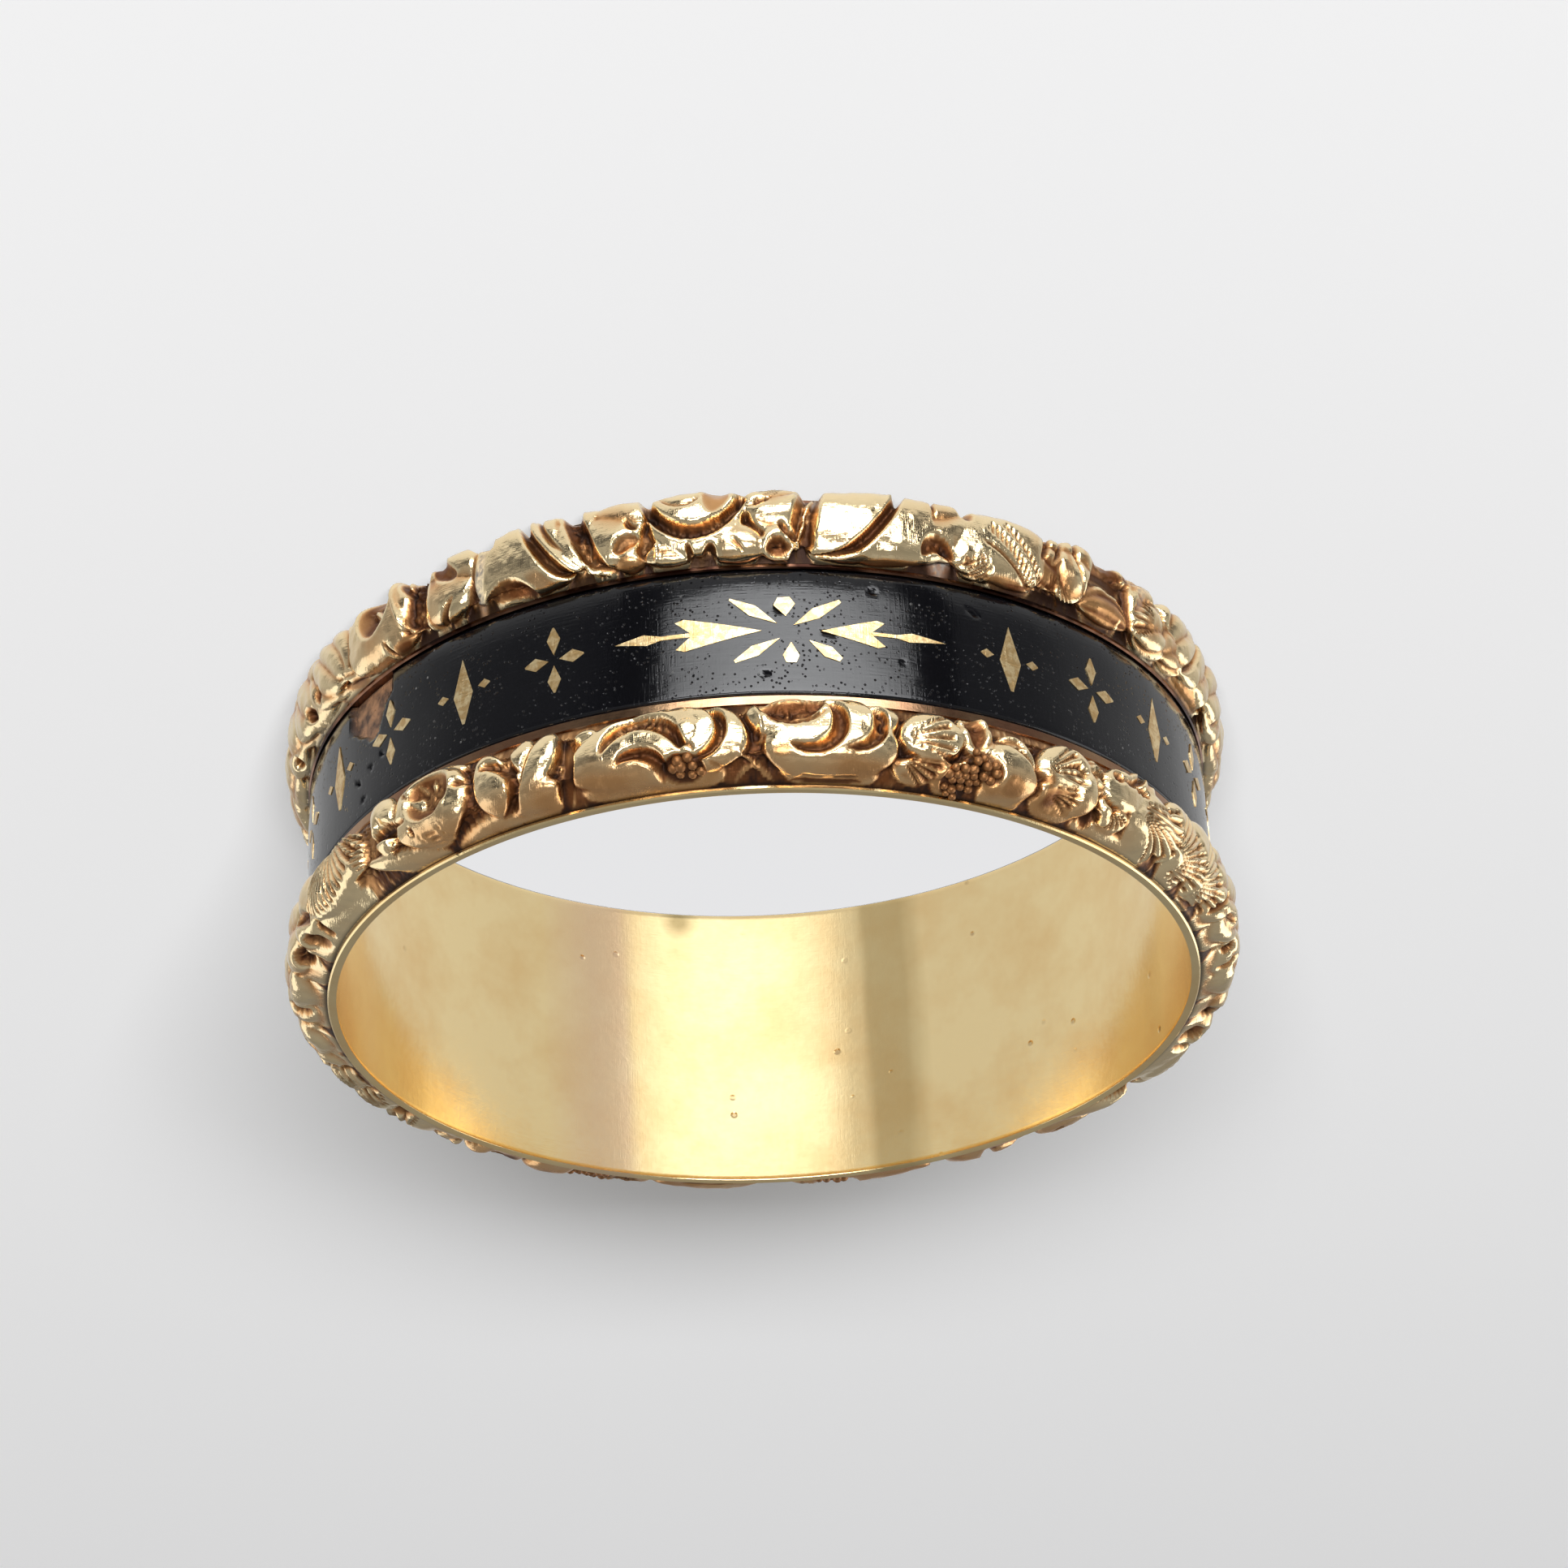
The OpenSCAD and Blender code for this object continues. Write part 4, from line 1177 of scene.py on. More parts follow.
class NodeKit:
    """Small helper that adds nodes to a tree.

    Args:
        tree: the tree.
    """

    def __init__(self, tree: bpy.types.NodeTree) -> None:
        """Keeps the tree."""
        self.tree = tree

    def put(self, socket: Socket, value: object) -> None:
        """Links or sets a socket.

        Args:
            socket: the input.
            value: a number, a colour or an output.
        """
        if isinstance(value, Socket):
            self.tree.links.new(value, socket)
        elif isinstance(value, tuple) and len(value) == 3 and socket.type == "RGBA":
            socket.default_value = (*value, 1.0)
        else:
            socket.default_value = value

    def add(self, kind: str, options: dict | None = None, **inputs: object) -> bpy.types.Node:
        """Adds a node and joins or sets its inputs.

        Args:
            kind: type of the node, without its prefix if it is a geometry node.
            options: properties of the node.
            inputs: values of its inputs; an underscore stands for a space.

        Returns:
            The node.
        """
        node = self.tree.nodes.new(kind if "Node" in kind else f"GeometryNode{kind}")
        for key, value in (options or {}).items():
            setattr(node, key, value)
        for key, value in inputs.items():
            self.put(node.inputs[key.replace("_", " ")], value)
        return node

    def math(
        self, kind: str, a: object, b: object = 0.0, c: object = 0.0, clamp: bool = False
    ) -> Socket:
        """Adds a Math node.

        Args:
            kind: the operation.
            a: first value.
            b: second value.
            c: third value.
            clamp: whether the result is kept from 0 to 1.

        Returns:
            The result.
        """
        node = self.add("ShaderNodeMath", {"operation": kind, "use_clamp": clamp})
        for socket, value in zip(node.inputs, (a, b, c)):
            self.put(socket, value)
        return node.outputs[0]

    def scaled(self, value: object, factor: object, shift: object) -> Socket:
        """Gives a value times a factor plus a shift."""
        return self.math("MULTIPLY_ADD", value, factor, shift)

    def times(self, a: object, b: object) -> Socket:
        """Gives the product of two values."""
        return self.math("MULTIPLY", a, b)

    def axes(self, vector: Socket) -> list[Socket]:
        """Gives a vector's part along each axis."""
        return list(self.add("ShaderNodeSeparateXYZ", Vector=vector).outputs)

    def ramp(self, value: Socket, stops: list) -> Socket:
        """Maps a value through a ramp.

        Args:
            value: the value.
            stops: pairs of place and result.

        Returns:
            The mapped value.
        """
        node = self.add("ShaderNodeValToRGB", Fac=value)
        marks = node.color_ramp.elements
        while len(marks) < len(stops):
            marks.new(0.5)
        for mark, (place, result) in zip(marks, stops):
            mark.position = place
            mark.color = (result, result, result, 1.0)
        return node.outputs[0]

    def mix(self, factor: object, a: object, b: object) -> Socket:
        """Mixes two colours.

        Args:
            factor: share of the second.
            a: first colour.
            b: second colour.

        Returns:
            The mixed colour.
        """
        node = self.add("ShaderNodeMix", {"data_type": "RGBA"})
        # The colours' sockets come after those of the other types
        for place, value in ((0, factor), (6, a), (7, b)):
            self.put(node.inputs[place], value)
        return node.outputs[2]


class Nodes(NodeKit):
    """Small helper that builds one Principled material.

    Args:
        name: name of the material.
    """

    def __init__(self, name: str) -> None:
        """Starts the material and its Object coordinates."""
        self.material = bpy.data.materials.new(name)
        self.material.use_nodes = True
        super().__init__(self.material.node_tree)
        self.shader = self.tree.nodes["Principled BSDF"]
        self.place = self.add("ShaderNodeTexCoord").outputs["Object"]

    def feed(self, **values: object) -> None:
        """Joins or sets inputs of the shader; an underscore stands for a space."""
        for name, value in values.items():
            self.put(self.shader.inputs[name.replace("_", " ")], value)

    def attribute(self, name: str) -> Socket:
        """Reads a named attribute of the mesh."""
        return self.add("ShaderNodeAttribute", {"attribute_name": name}).outputs["Fac"]

    def noise(self, scale: float, detail: float, rough: float, vector: object = None) -> Socket:
        """Adds a noise texture.

        Args:
            scale: scale per metre.
            detail: octaves.
            rough: roughness of the octaves.
            vector: coordinates, the object's own if none are given.

        Returns:
            The noise, from 0 to 1.
        """
        node = self.add(
            "ShaderNodeTexNoise",
            Vector=vector or self.place, Scale=scale, Detail=detail, Roughness=rough,
        )
        return node.outputs["Fac"]

    def stretched(self, scale: tuple, turn: tuple = (0.0, 0.0, 0.0)) -> Socket:
        """The object's coordinates, scaled along each axis and then turned, in radians."""
        node = self.add("ShaderNodeMapping", Vector=self.place, Rotation=turn, Scale=scale)
        return node.outputs[0]

    def voronoi(self, scale: float) -> Socket:
        """Distance to the nearest point of a cell texture, of a scale per metre."""
        node = self.add("ShaderNodeTexVoronoi", Vector=self.place, Scale=scale)
        return node.outputs["Distance"]

    def scratches(self, scale: float) -> Socket:
        """Fine scratches in two directions, made of stretched noise.

        Args:
            scale: scale per metre.

        Returns:
            The height of the scratches.
        """
        sideways = self.stretched((1.0, 1.0, 14.0), (0.3, 0.2, 0.9))
        upright = self.stretched((16.0, 1.0, 1.0), (1.2, 0.5, 0.1))
        layers = [self.noise(scale, 2.0, 0.5, place) for place in (sideways, upright)]
        return self.math("MAXIMUM", *layers)

    def bump(self, layers: list, reach: float) -> None:
        """Joins height layers to the shader's normal.

        Args:
            layers: pairs of height and strength.
            reach: depth of a full step, in metres.
        """
        below = {}
        for height, strength in layers:
            node = self.add(
                "ShaderNodeBump", {"invert": strength < 0},
                Strength=abs(strength), Distance=reach, Height=height, **below,
            )
            below = {"Normal": node.outputs[0]}
        self.feed(**below)


class GeometryTree(NodeKit):
    """Small helper that builds a Geometry Nodes tree and applies it.

    Args:
        name: name of the tree.
        inputs: names of its inputs and the values they take.
    """

    KINDS = {float: "NodeSocketFloat", int: "NodeSocketInt"}

    def __init__(self, name: str, inputs: dict[str, object]) -> None:
        """Makes the tree with its named inputs."""
        super().__init__(bpy.data.node_groups.new(name, "GeometryNodeTree"))
        face = self.tree.interface
        face.new_socket("Geometry", in_out="INPUT", socket_type="NodeSocketGeometry")
        face.new_socket("Geometry", in_out="OUTPUT", socket_type="NodeSocketGeometry")
        self.values = {}
        for key, value in inputs.items():
            kind = self.KINDS.get(type(value))
            if kind is None:
                plain = isinstance(value, bpy.types.Material)
                kind = "NodeSocketMaterial" if plain else "NodeSocketObject"
            socket = face.new_socket(key, in_out="INPUT", socket_type=kind)
            self.values[socket.identifier] = value
        self.entry = self.tree.nodes.new("NodeGroupInput")
        self.exit = self.tree.nodes.new("NodeGroupOutput")

    def given(self, name: str) -> Socket:
        """The tree's input with the name, as a socket inside the tree."""
        return self.entry.outputs[name]

    def close(self, geometry: Socket) -> None:
        """Ends the tree with Realize Instances and Set Material.

        Args:
            geometry: the geometry that leaves the tree.
        """
        real = self.add("RealizeInstances", Geometry=geometry)
        dressed = self.add("SetMaterial", Geometry=real.outputs[0], Material=self.given("Material"))
        self.put(self.exit.inputs[0], dressed.outputs[0])

    def apply(self, name: str, seed: bpy.types.Mesh) -> bpy.types.Object:
        """Runs the tree on a mesh and keeps the result as a plain mesh.

        Args:
            name: name of the piece.
            seed: mesh that enters the tree.

        Returns:
            The piece.
        """
        source = bpy.data.objects.new(f"{name}_source", seed)
        bpy.context.scene.collection.objects.link(source)
        modifier = source.modifiers.new("nodes", "NODES")
        modifier.node_group = self.tree
        for key, value in self.values.items():
            modifier[key] = value
        ready = source.evaluated_get(bpy.context.evaluated_depsgraph_get())
        mesh = bpy.data.meshes.new_from_object(ready)
        bpy.data.objects.remove(source)
        mesh.name = name
        piece = bpy.data.objects.new(name, mesh)
        bpy.context.scene.collection.objects.link(piece)
        return piece


def around(theta: Grid, r: Grid, z: Grid) -> Grid:
    """Points in metres, from degrees round the ring (0 at -Y, growing to -X) and millimetres."""
    t = np.radians(theta)
    return np.stack([-r * np.sin(t), -r * np.cos(t), z], -1) * MM


def grid_mesh(
    name: str, points: Grid, attributes: dict[str, Grid]
) -> bpy.types.Object:
    """Closed ring mesh from a grid that wraps both ways.

    Args:
        name: name of the piece.
        points: points, round the ring first and round the section second.
        attributes: values for each point.

    Returns:
        The object, smooth and with its faces outwards.
    """
    n, m = points.shape[:2]
    i, j = np.meshgrid(np.arange(n), np.arange(m), indexing="ij")
    i2, j2 = (i + 1) % n, (j + 1) % m
    quads = np.stack([i * m + j, i2 * m + j, i2 * m + j2, i * m + j2], -1).reshape(-1, 4)
    mesh = bpy.data.meshes.new(name)
    mesh.vertices.add(n * m)
    mesh.vertices.foreach_set("co", points.reshape(-1).astype(np.float32))
    mesh.loops.add(quads.size)
    mesh.loops.foreach_set("vertex_index", quads.reshape(-1).astype(np.int32))
    mesh.polygons.add(len(quads))
    mesh.polygons.foreach_set("loop_start", np.arange(0, quads.size, 4, dtype=np.int32))
    mesh.update(calc_edges=True)
    mesh.validate()
    for key, values in attributes.items():
        layer = mesh.attributes.new(key, "FLOAT", "POINT")
        layer.data.foreach_set("value", values.reshape(-1).astype(np.float32))
    work = bmesh.new()
    work.from_mesh(mesh)
    if work.calc_volume(signed=True) < 0:
        bmesh.ops.reverse_faces(work, faces=work.faces)
    work.to_mesh(mesh)
    work.free()
    mesh.shade_smooth()
    piece = bpy.data.objects.new(name, mesh)
    bpy.context.scene.collection.objects.link(piece)
    return piece


@dataclass
class ChasedBorder:
    """One chased border, soldered to the hoop beside the enamel.

    Args:
        sizes: the ring's sizes.
        side: which border it is.
        chart: rows of its ornament.
        lap: share of the ledge that the relief laps over; below 0 it stands off the ledge.
        hidden_step: columns of the seen half for each one of the hidden half.
        bite: depth to which the rim's side reaches into the hoop.
        sunk_foot: depth of the foot below the top of the ledge.
    """

    sizes: RingSizes
    side: Side
    chart: list
    lap: float = 0.5
    hidden_step: int = 3
    bite: float = 0.01
    sunk_foot: float = 0.05

    @property
    def width(self) -> float:
        """Width of the border with its ledge."""
        return self.sizes.upper_border_w if self.side is Side.UPPER else self.sizes.lower_border_w

    def crest(self, share: Grid) -> tuple[Grid, Grid]:
        """Radius and height from the rim of the crest line.

        Args:
            share: share across the face.

        Returns:
            The radius and the height.
        """
        s = self.sizes
        face_w = self.width - s.ledge_w * (1 - self.lap)
        middle = face_w * 0.5
        phi = math.pi * share
        foot = np.where(share < 0.5, 0.0, s.enamel_t + s.bed_wall - self.sunk_foot)
        end = np.where(share < 0.5, s.rim_setback, face_w)
        up, out = np.abs(np.cos(phi)), np.abs(np.sin(phi))
        swell = (up**s.fullness + out**s.fullness) ** (-1 / s.fullness)
        r = s.seam_r - self.bite + foot + (s.crest_h - foot) * swell * out
        return r, middle + (end - middle) * swell * up

    def face_length(self) -> float:
        """Length across the face, along its crest line."""
        r, z = self.crest(np.linspace(0, 1, 201))
        return float(np.hypot(np.diff(r), np.diff(z)).sum())

    def surface(self, share: Grid, height: Grid) -> tuple[Grid, Grid]:
        """Radius and height from the rim of a point sunk below the crest line.

        Args:
            share: share across the face.
            height: share of the recess depth, 1 at the crest line.

        Returns:
            The radius and the height.
        """
        s, step = self.sizes, 0.01
        r, z = self.crest(share)
        r2, z2 = self.crest(np.clip(share + step, 0, 1))
        r1, z1 = self.crest(np.clip(share - step, 0, 1))
        dr, dz = r2 - r1, z2 - z1
        size = np.hypot(dr, dz)
        sink = (height - 1) * s.recess_t
        sink = sink * smoothstep(0.0, 0.16, share) * (1 - smoothstep(0.93, 1.0, share))
        return r + sink * dz / size, np.maximum(z - sink * dr / size, s.rim_setback * 0.9)

    def both_halves(self, grid: Grid) -> Grid:
        """Repeats the seen half's values, more coarsely, for the hidden half."""
        return np.concatenate([grid, grid[:: self.hidden_step]])

    def work_relief(self) -> ReliefField:
        """Works the chart into a field of height and stain.

        Returns:
            The field.
        """
        s = self.sizes
        length, radius = self.face_length(), s.seam_r + s.crest_h
        # The upper border takes painted shade, as more tarnish, on its faces that look down
        if self.side is Side.UPPER:
            relief = ReliefField(length, radius, 1, (1.06, 1.1), down_face_shade=0.38)
        else:
            # The lower border darkens strongly towards its ledge: soot and painted shade under its
            # petals
            relief = ReliefField(length, radius, -1, (1.1, 1.25), 0.87, (0.78, 0.85, 1.0))
        relief.build(self.chart)
        return relief

    def build(self) -> bpy.types.Object:
        """Builds the border as one closed ring with its relief.

        Returns:
            The piece.
        """
        s = self.sizes
        self.relief = self.work_relief()
        angles = self.relief.angles
        angles = np.concatenate([angles, angles[:: self.hidden_step] + 180])
        share = np.tile(self.relief.shares, (len(angles), 1))
        r, z = self.surface(share, self.both_halves(self.relief.height))
        back_r = np.full((len(angles), 2), s.seam_r - s.hoop_wall / 2)
        back_z = np.stack([z[:, -1], z[:, 0]], -1)
        r = np.concatenate([r, back_r], 1)
        z = np.concatenate([z, back_z], 1)
        if self.side is Side.UPPER:
            z = s.band_w - z
        theta = np.tile(angles[:, None], (1, r.shape[1]))
        attributes = {}
        for name, back in (("stain", 1.0), ("grey", 0.0), ("soot", 1.0)):
            seen = self.both_halves(getattr(self.relief, name))
            attributes[name] = np.concatenate([seen, np.full_like(back_r, back)], 1)
        name = f"{self.side.value}_border"
        piece = grid_mesh(name, around(theta, r, z), attributes)
        piece.data.materials.append(ChasedGold(f"{name}_gold").material())
        return piece

    def berry_points(self) -> list[tuple[Vector, float]]:
        """Places and sizes of all berries, on both halves of the ring.

        Returns:
            Centre in metres and radius in metres of each.
        """
        found, lift = [], 0.35
        for angle, share, size, level in self.relief.berries:
            r, z = self.surface(np.array([share]), np.array([level]))
            height = self.sizes.band_w - z[0] if self.side is Side.UPPER else z[0]
            for turn in (0, 180):
                place = around(np.array([angle + turn]), r + size * lift, np.array([height]))[0]
                found.append((Vector(place), size * MM))
        return found


@dataclass
class Hoop:
    """Inner hoop with its plain rims, the enamel's bed and the two ledges.

    Args:
        sizes: the ring's sizes.
        steps: sections round the hoop.
        crease: angle in radians above which an edge stays crisp.
        ease: rounding of its edges.
        strip: width of the step from the sooty seam to the plain strip at the rim.
        ledge_stain: share of tarnish on the upper ledge.
        lower_ledge_shade: painted shade on the lower ledge, as tarnish that it has over the upper
            one.
    """

    sizes: RingSizes
    steps: int = 360
    crease: float = 0.45
    ease: float = 0.03
    strip: float = 0.02
    ledge_stain: float = 0.62
    lower_ledge_shade: float = 0.33

    def profile(self) -> list[tuple[float, float]]:
        """Section of the hoop, with eased rims.

        Returns:
            Radius and height of each corner, in order.
        """
        s, e = self.sizes, self.ease
        lo, hi, top = s.tray_lo - s.ledge_w, s.tray_hi + 2 * s.ledge_w, s.band_w
        seam_end, worn = top - s.rim_setback, s.bore_r + 0.008
        return [
            (s.bore_r + e, 0), (s.seam_r - e, 0), (s.seam_r, e),
            # Lower ledge, bed and upper ledge
            (s.seam_r, lo), (s.face_r - e, lo), (s.face_r, lo + e), (s.face_r, s.tray_lo - e),
            (s.face_r - e, s.tray_lo), (s.bed_r, s.tray_lo), (s.bed_r, s.tray_hi),
            (s.face_r - e, s.tray_hi), (s.face_r, s.tray_hi + e), (s.face_r, hi - e),
            (s.face_r - e, hi), (s.seam_r, hi),
            # Plain strip and upper rim
            (s.seam_r, seam_end), (s.seam_r, seam_end + self.strip), (s.seam_r, top - e),
            (s.seam_r - e, top), (s.bore_r + e, top), (worn, top - e * 0.3),
            # Inner wall
            (s.bore_r, top - e), (s.bore_r, top - 4 * e), (s.bore_r, top / 2),
            (s.bore_r, 4 * e), (s.bore_r, e), (worn, e * 0.3),
        ]

    def build(self) -> bpy.types.Object:
        """Sweeps the section round the finger hole.

        Returns:
            The piece.
        """
        s = self.sizes
        points = [((r - s.bore_r) * MM, -z * MM, 0) for r, z in self.profile()]
        section = bpy.data.meshes.new("hoop_section")
        edges = [(k, (k + 1) % len(points)) for k in range(len(points))]
        section.from_pydata(points, edges, [])
        # The hoop's gold carries pocks, streaks and the stripes of painted reflection on its inner
        # wall
        tree = GeometryTree("sweep_round_finger", {
            "Radius": s.bore_r * MM, "Steps": self.steps, "Crease": self.crease,
            "Seam Radius": s.seam_r * MM, "Material": SatinGold(wall_marks_and_reflection_bands=0.45).material(),
        })
        path = tree.add(
            "CurvePrimitiveCircle", Radius=tree.given("Radius"), Resolution=tree.given("Steps")
        )
        curve = tree.add("MeshToCurve", Mesh=tree.given("Geometry"))
        swept = tree.add("CurveToMesh", Curve=path.outputs[0])
        tree.put(swept.inputs[1], curve.outputs[0])
        marked = tree.add(
            "StoreNamedAttribute", Geometry=swept.outputs[0], Name="stain", Value=self.stain(tree)
        )
        soft = tree.add("SetShadeSmooth", Geometry=marked.outputs[0], Shade_Smooth=True)
        angle = tree.add("InputMeshEdgeAngle").outputs[0]
        crisp = tree.add(
            "SetShadeSmooth", {"domain": "EDGE"}, Geometry=soft.outputs[0], Shade_Smooth=False,
            Selection=tree.math("GREATER_THAN", angle, tree.given("Crease")),
        )
        tree.close(crisp.outputs[0])
        return tree.apply("inner_hoop", section)

    def stain(self, tree: GeometryTree) -> Socket:
        """Tarnish of the seams beside the relief and of the two ledges, with painted shade as more
        tarnish on the lower ledge.

        Args:
            tree: the tree that sweeps the hoop.

        Returns:
            The share of tarnish at each point.
        """
        s = self.sizes
        x, y, z = tree.axes(tree.add("InputPosition").outputs[0])
        square = tree.scaled(x, x, tree.times(y, y))
        off = tree.math("SUBTRACT", tree.math("SQRT", square), tree.given("Seam Radius"))
        seam = tree.math("LESS_THAN", tree.math("ABSOLUTE", off), 0.02 * MM)
        seam_end = s.band_w - s.rim_setback + self.strip / 2
        seam = tree.times(seam, tree.math("LESS_THAN", z, seam_end * MM))
        lower = tree.math("LESS_THAN", z, s.tray_mid * MM)
        ledge = tree.math("GREATER_THAN", off, 0.05 * MM)
        # More tarnish on the lower ledge: painted shade
        ledge = tree.times(ledge, tree.scaled(lower, self.lower_ledge_shade, self.ledge_stain))
        return tree.math("MAXIMUM", seam, ledge)


# Dark marks in the enamel, a place and half lengths in millimetres
# [angle, share, long, high, turn]
ENAMEL_MARKS = [
    (3.4, 0.33, 0.13, 0.06, 40),
    (9.4, 0.52, 0.16, 0.05, 15),
    (1.6, 0.84, 0.11, 0.035, -15),
    (28.0, 0.2, 0.2, 0.05, 28),
    (15.0, 0.16, 0.07, 0.06, 0),
    (18.5, 0.7, 0.04, 0.05, 0),
    (-52.6, 0.62, 0.1, 0.07, 20),
    (-58.4, 0.7, 0.2, 0.06, 40),
    (-55.2, 0.66, 0.09, 0.1, 0),
    (-50.4, 0.3, 0.06, 0.14, 10),
    (-57.0, 0.86, 0.12, 0.05, -20),
]


@dataclass
class EnamelBand:
    """Black enamel laid in the tray, with a chipped place at its lower edge.

    Args:
        sizes: the ring's sizes.
        gap: clearance left all round the enamel.
        columns: grid points round the band.
        rows: grid points across its face.
        chip_angle: place of the chipped place, in degrees round the ring.
        chip_long: half length of the chipped place.
        chip_high: its height over the lower edge.
        chip_deep: its depth.
        mark_deep: depth of the small dark marks.
        sag: how far the face falls towards its edges.
        rounding: how far the edges themselves are rounded off.
        upper_ease: share of sag and rounding at the upper edge.
    """

    sizes: RingSizes
    gap: float = 0.02
    columns: int = 900
    rows: int = 44
    chip_angle: float = -56.0
    chip_long: float = 0.9
    chip_high: float = 1.15
    chip_deep: float = 0.12
    mark_deep: float = 0.02
    sag: float = 0.045
    rounding: float = 0.03
    upper_ease: float = 0.3

    def __post_init__(self) -> None:
        """Lays out the grid of the face."""
        s = self.sizes
        angles = np.arange(self.columns) * 360 / self.columns - 180
        heights = np.linspace(s.tray_lo + self.gap, s.tray_hi - self.gap, self.rows)
        self.theta, self.z = np.meshgrid(angles, heights, indexing="ij")

    def build(self) -> bpy.types.Object:
        """Builds the band as one closed ring.

        Returns:
            The piece.
        """
        s, tray_w = self.sizes, self.sizes.tray_hi - self.sizes.tray_lo
        across = (self.z - s.tray_lo) / tray_w
        edge = np.minimum(across, 1 - across) * tray_w
        ease = np.where(across < 0.5, 1.0, self.upper_ease)
        swell = 0.009 * self.noise(1.5, 21) + 0.0016 * self.noise(0.5, 22)
        swell = swell - self.sag * ease * (2 * across - 1) ** 4
        swell = swell - self.rounding * ease * np.exp(-edge / 0.05)
        chip, mark = self.chip(), self.marks()
        swell = swell - self.chip_deep * chip - self.mark_deep * mark
        back = np.full((self.columns, 2), s.bed_r + self.gap)
        r = np.concatenate([s.face_r + swell, back], 1)
        theta, z, chip, mark = (
            np.concatenate([grid, grid[:, -1:], grid[:, :1]], 1)
            for grid in (self.theta, self.z, chip, mark)
        )
        piece = grid_mesh("enamel", around(theta, r, z), {"chip": chip, "mark": mark})
        piece.data.materials.append(BlackEnamel().material())
        return piece

    def noise(self, cell: float, seed: int) -> Grid:
        """Smooth random field over the band's face, from -1 to 1, with lumps of a size."""
        radius = self.sizes.face_r
        return value_noise(self.theta * RAD * radius, self.z, cell, seed, 2 * math.pi * radius)

    def chip(self) -> Grid:
        """Chipped place at the lower edge.

        Returns:
            1 inside the chipped place and 0 outside.
        """
        s = self.sizes
        x = (self.theta - self.chip_angle) * RAD * s.face_r
        y = self.z - s.tray_lo
        off = np.hypot(x / self.chip_long, (y - 0.1) / self.chip_high)
        return 1 - smoothstep(0.92, 1.0, off + 0.22 * self.noise(0.25, 23))

    def marks(self) -> Grid:
        """Dark marks in the face.

        Returns:
            1 inside a mark and 0 outside.
        """
        s = self.sizes
        found = np.zeros_like(self.theta)
        wobble = 0.3 * self.noise(0.06, 24)
        for angle, share, long, high, turn in ENAMEL_MARKS:
            x = (self.theta - angle) * RAD * s.face_r
            y = self.z - s.tray_lo - share * (s.tray_hi - s.tray_lo)
            c, d = math.cos(turn * RAD), math.sin(turn * RAD)
            off = np.hypot((x * c + y * d) / long, (y * c - x * d) / high)
            found = np.maximum(found, 1 - smoothstep(0.6, 1.1, off + wobble))
        return found


# Petals of the star figure, in shares of its height from its centre
# [tip_x, tip_y, end_x, end_y, wide, shoulder, blunt]
STAR_PETALS = [
    (0.0, 0.22, -0.02, 0.51, 0.29, 0.62, 0.55),
    (0.06, -0.18, 0.05, -0.49, 0.22, 0.65, 0.6),
    (-0.12, 0.11, -0.74, 0.5, 0.17, 0.52, 0.15),
    (0.1, 0.08, 0.74, 0.47, 0.17, 0.48, 0.3),
    (-0.09, -0.12, -0.7, -0.46, 0.17, 0.55, 0.25),
    (0.3, -0.15, 0.72, -0.43, 0.18, 0.6, 0.4),
]
# Arrows of the star figure, in shares of its height
# [side, tip_x, long, high, barb]
STAR_ARROWS = [
    (1, 0.47, 1.73, 0.42, 0.5),
    (-1, 0.33, 1.98, 0.49, 0.58),
]
# Small figures, in shares of their height from their centre
# [tip_x, tip_y, end_x, end_y, wide]
LOZENGE = [
    (0.0, 0.5, 0.0, -0.5, 0.34),
    (0.26, 0.0, 0.46, 0.0, 0.14),
    (-0.26, 0.0, -0.46, 0.0, 0.14),
]
BLOSSOM = [
    (0.0, 0.08, 0.0, 0.5, 0.2),
    (0.0, -0.08, 0.0, -0.5, 0.2),
    (0.08, 0.0, 0.44, 0.0, 0.2),
    (-0.08, 0.0, -0.44, 0.0, 0.2),
]


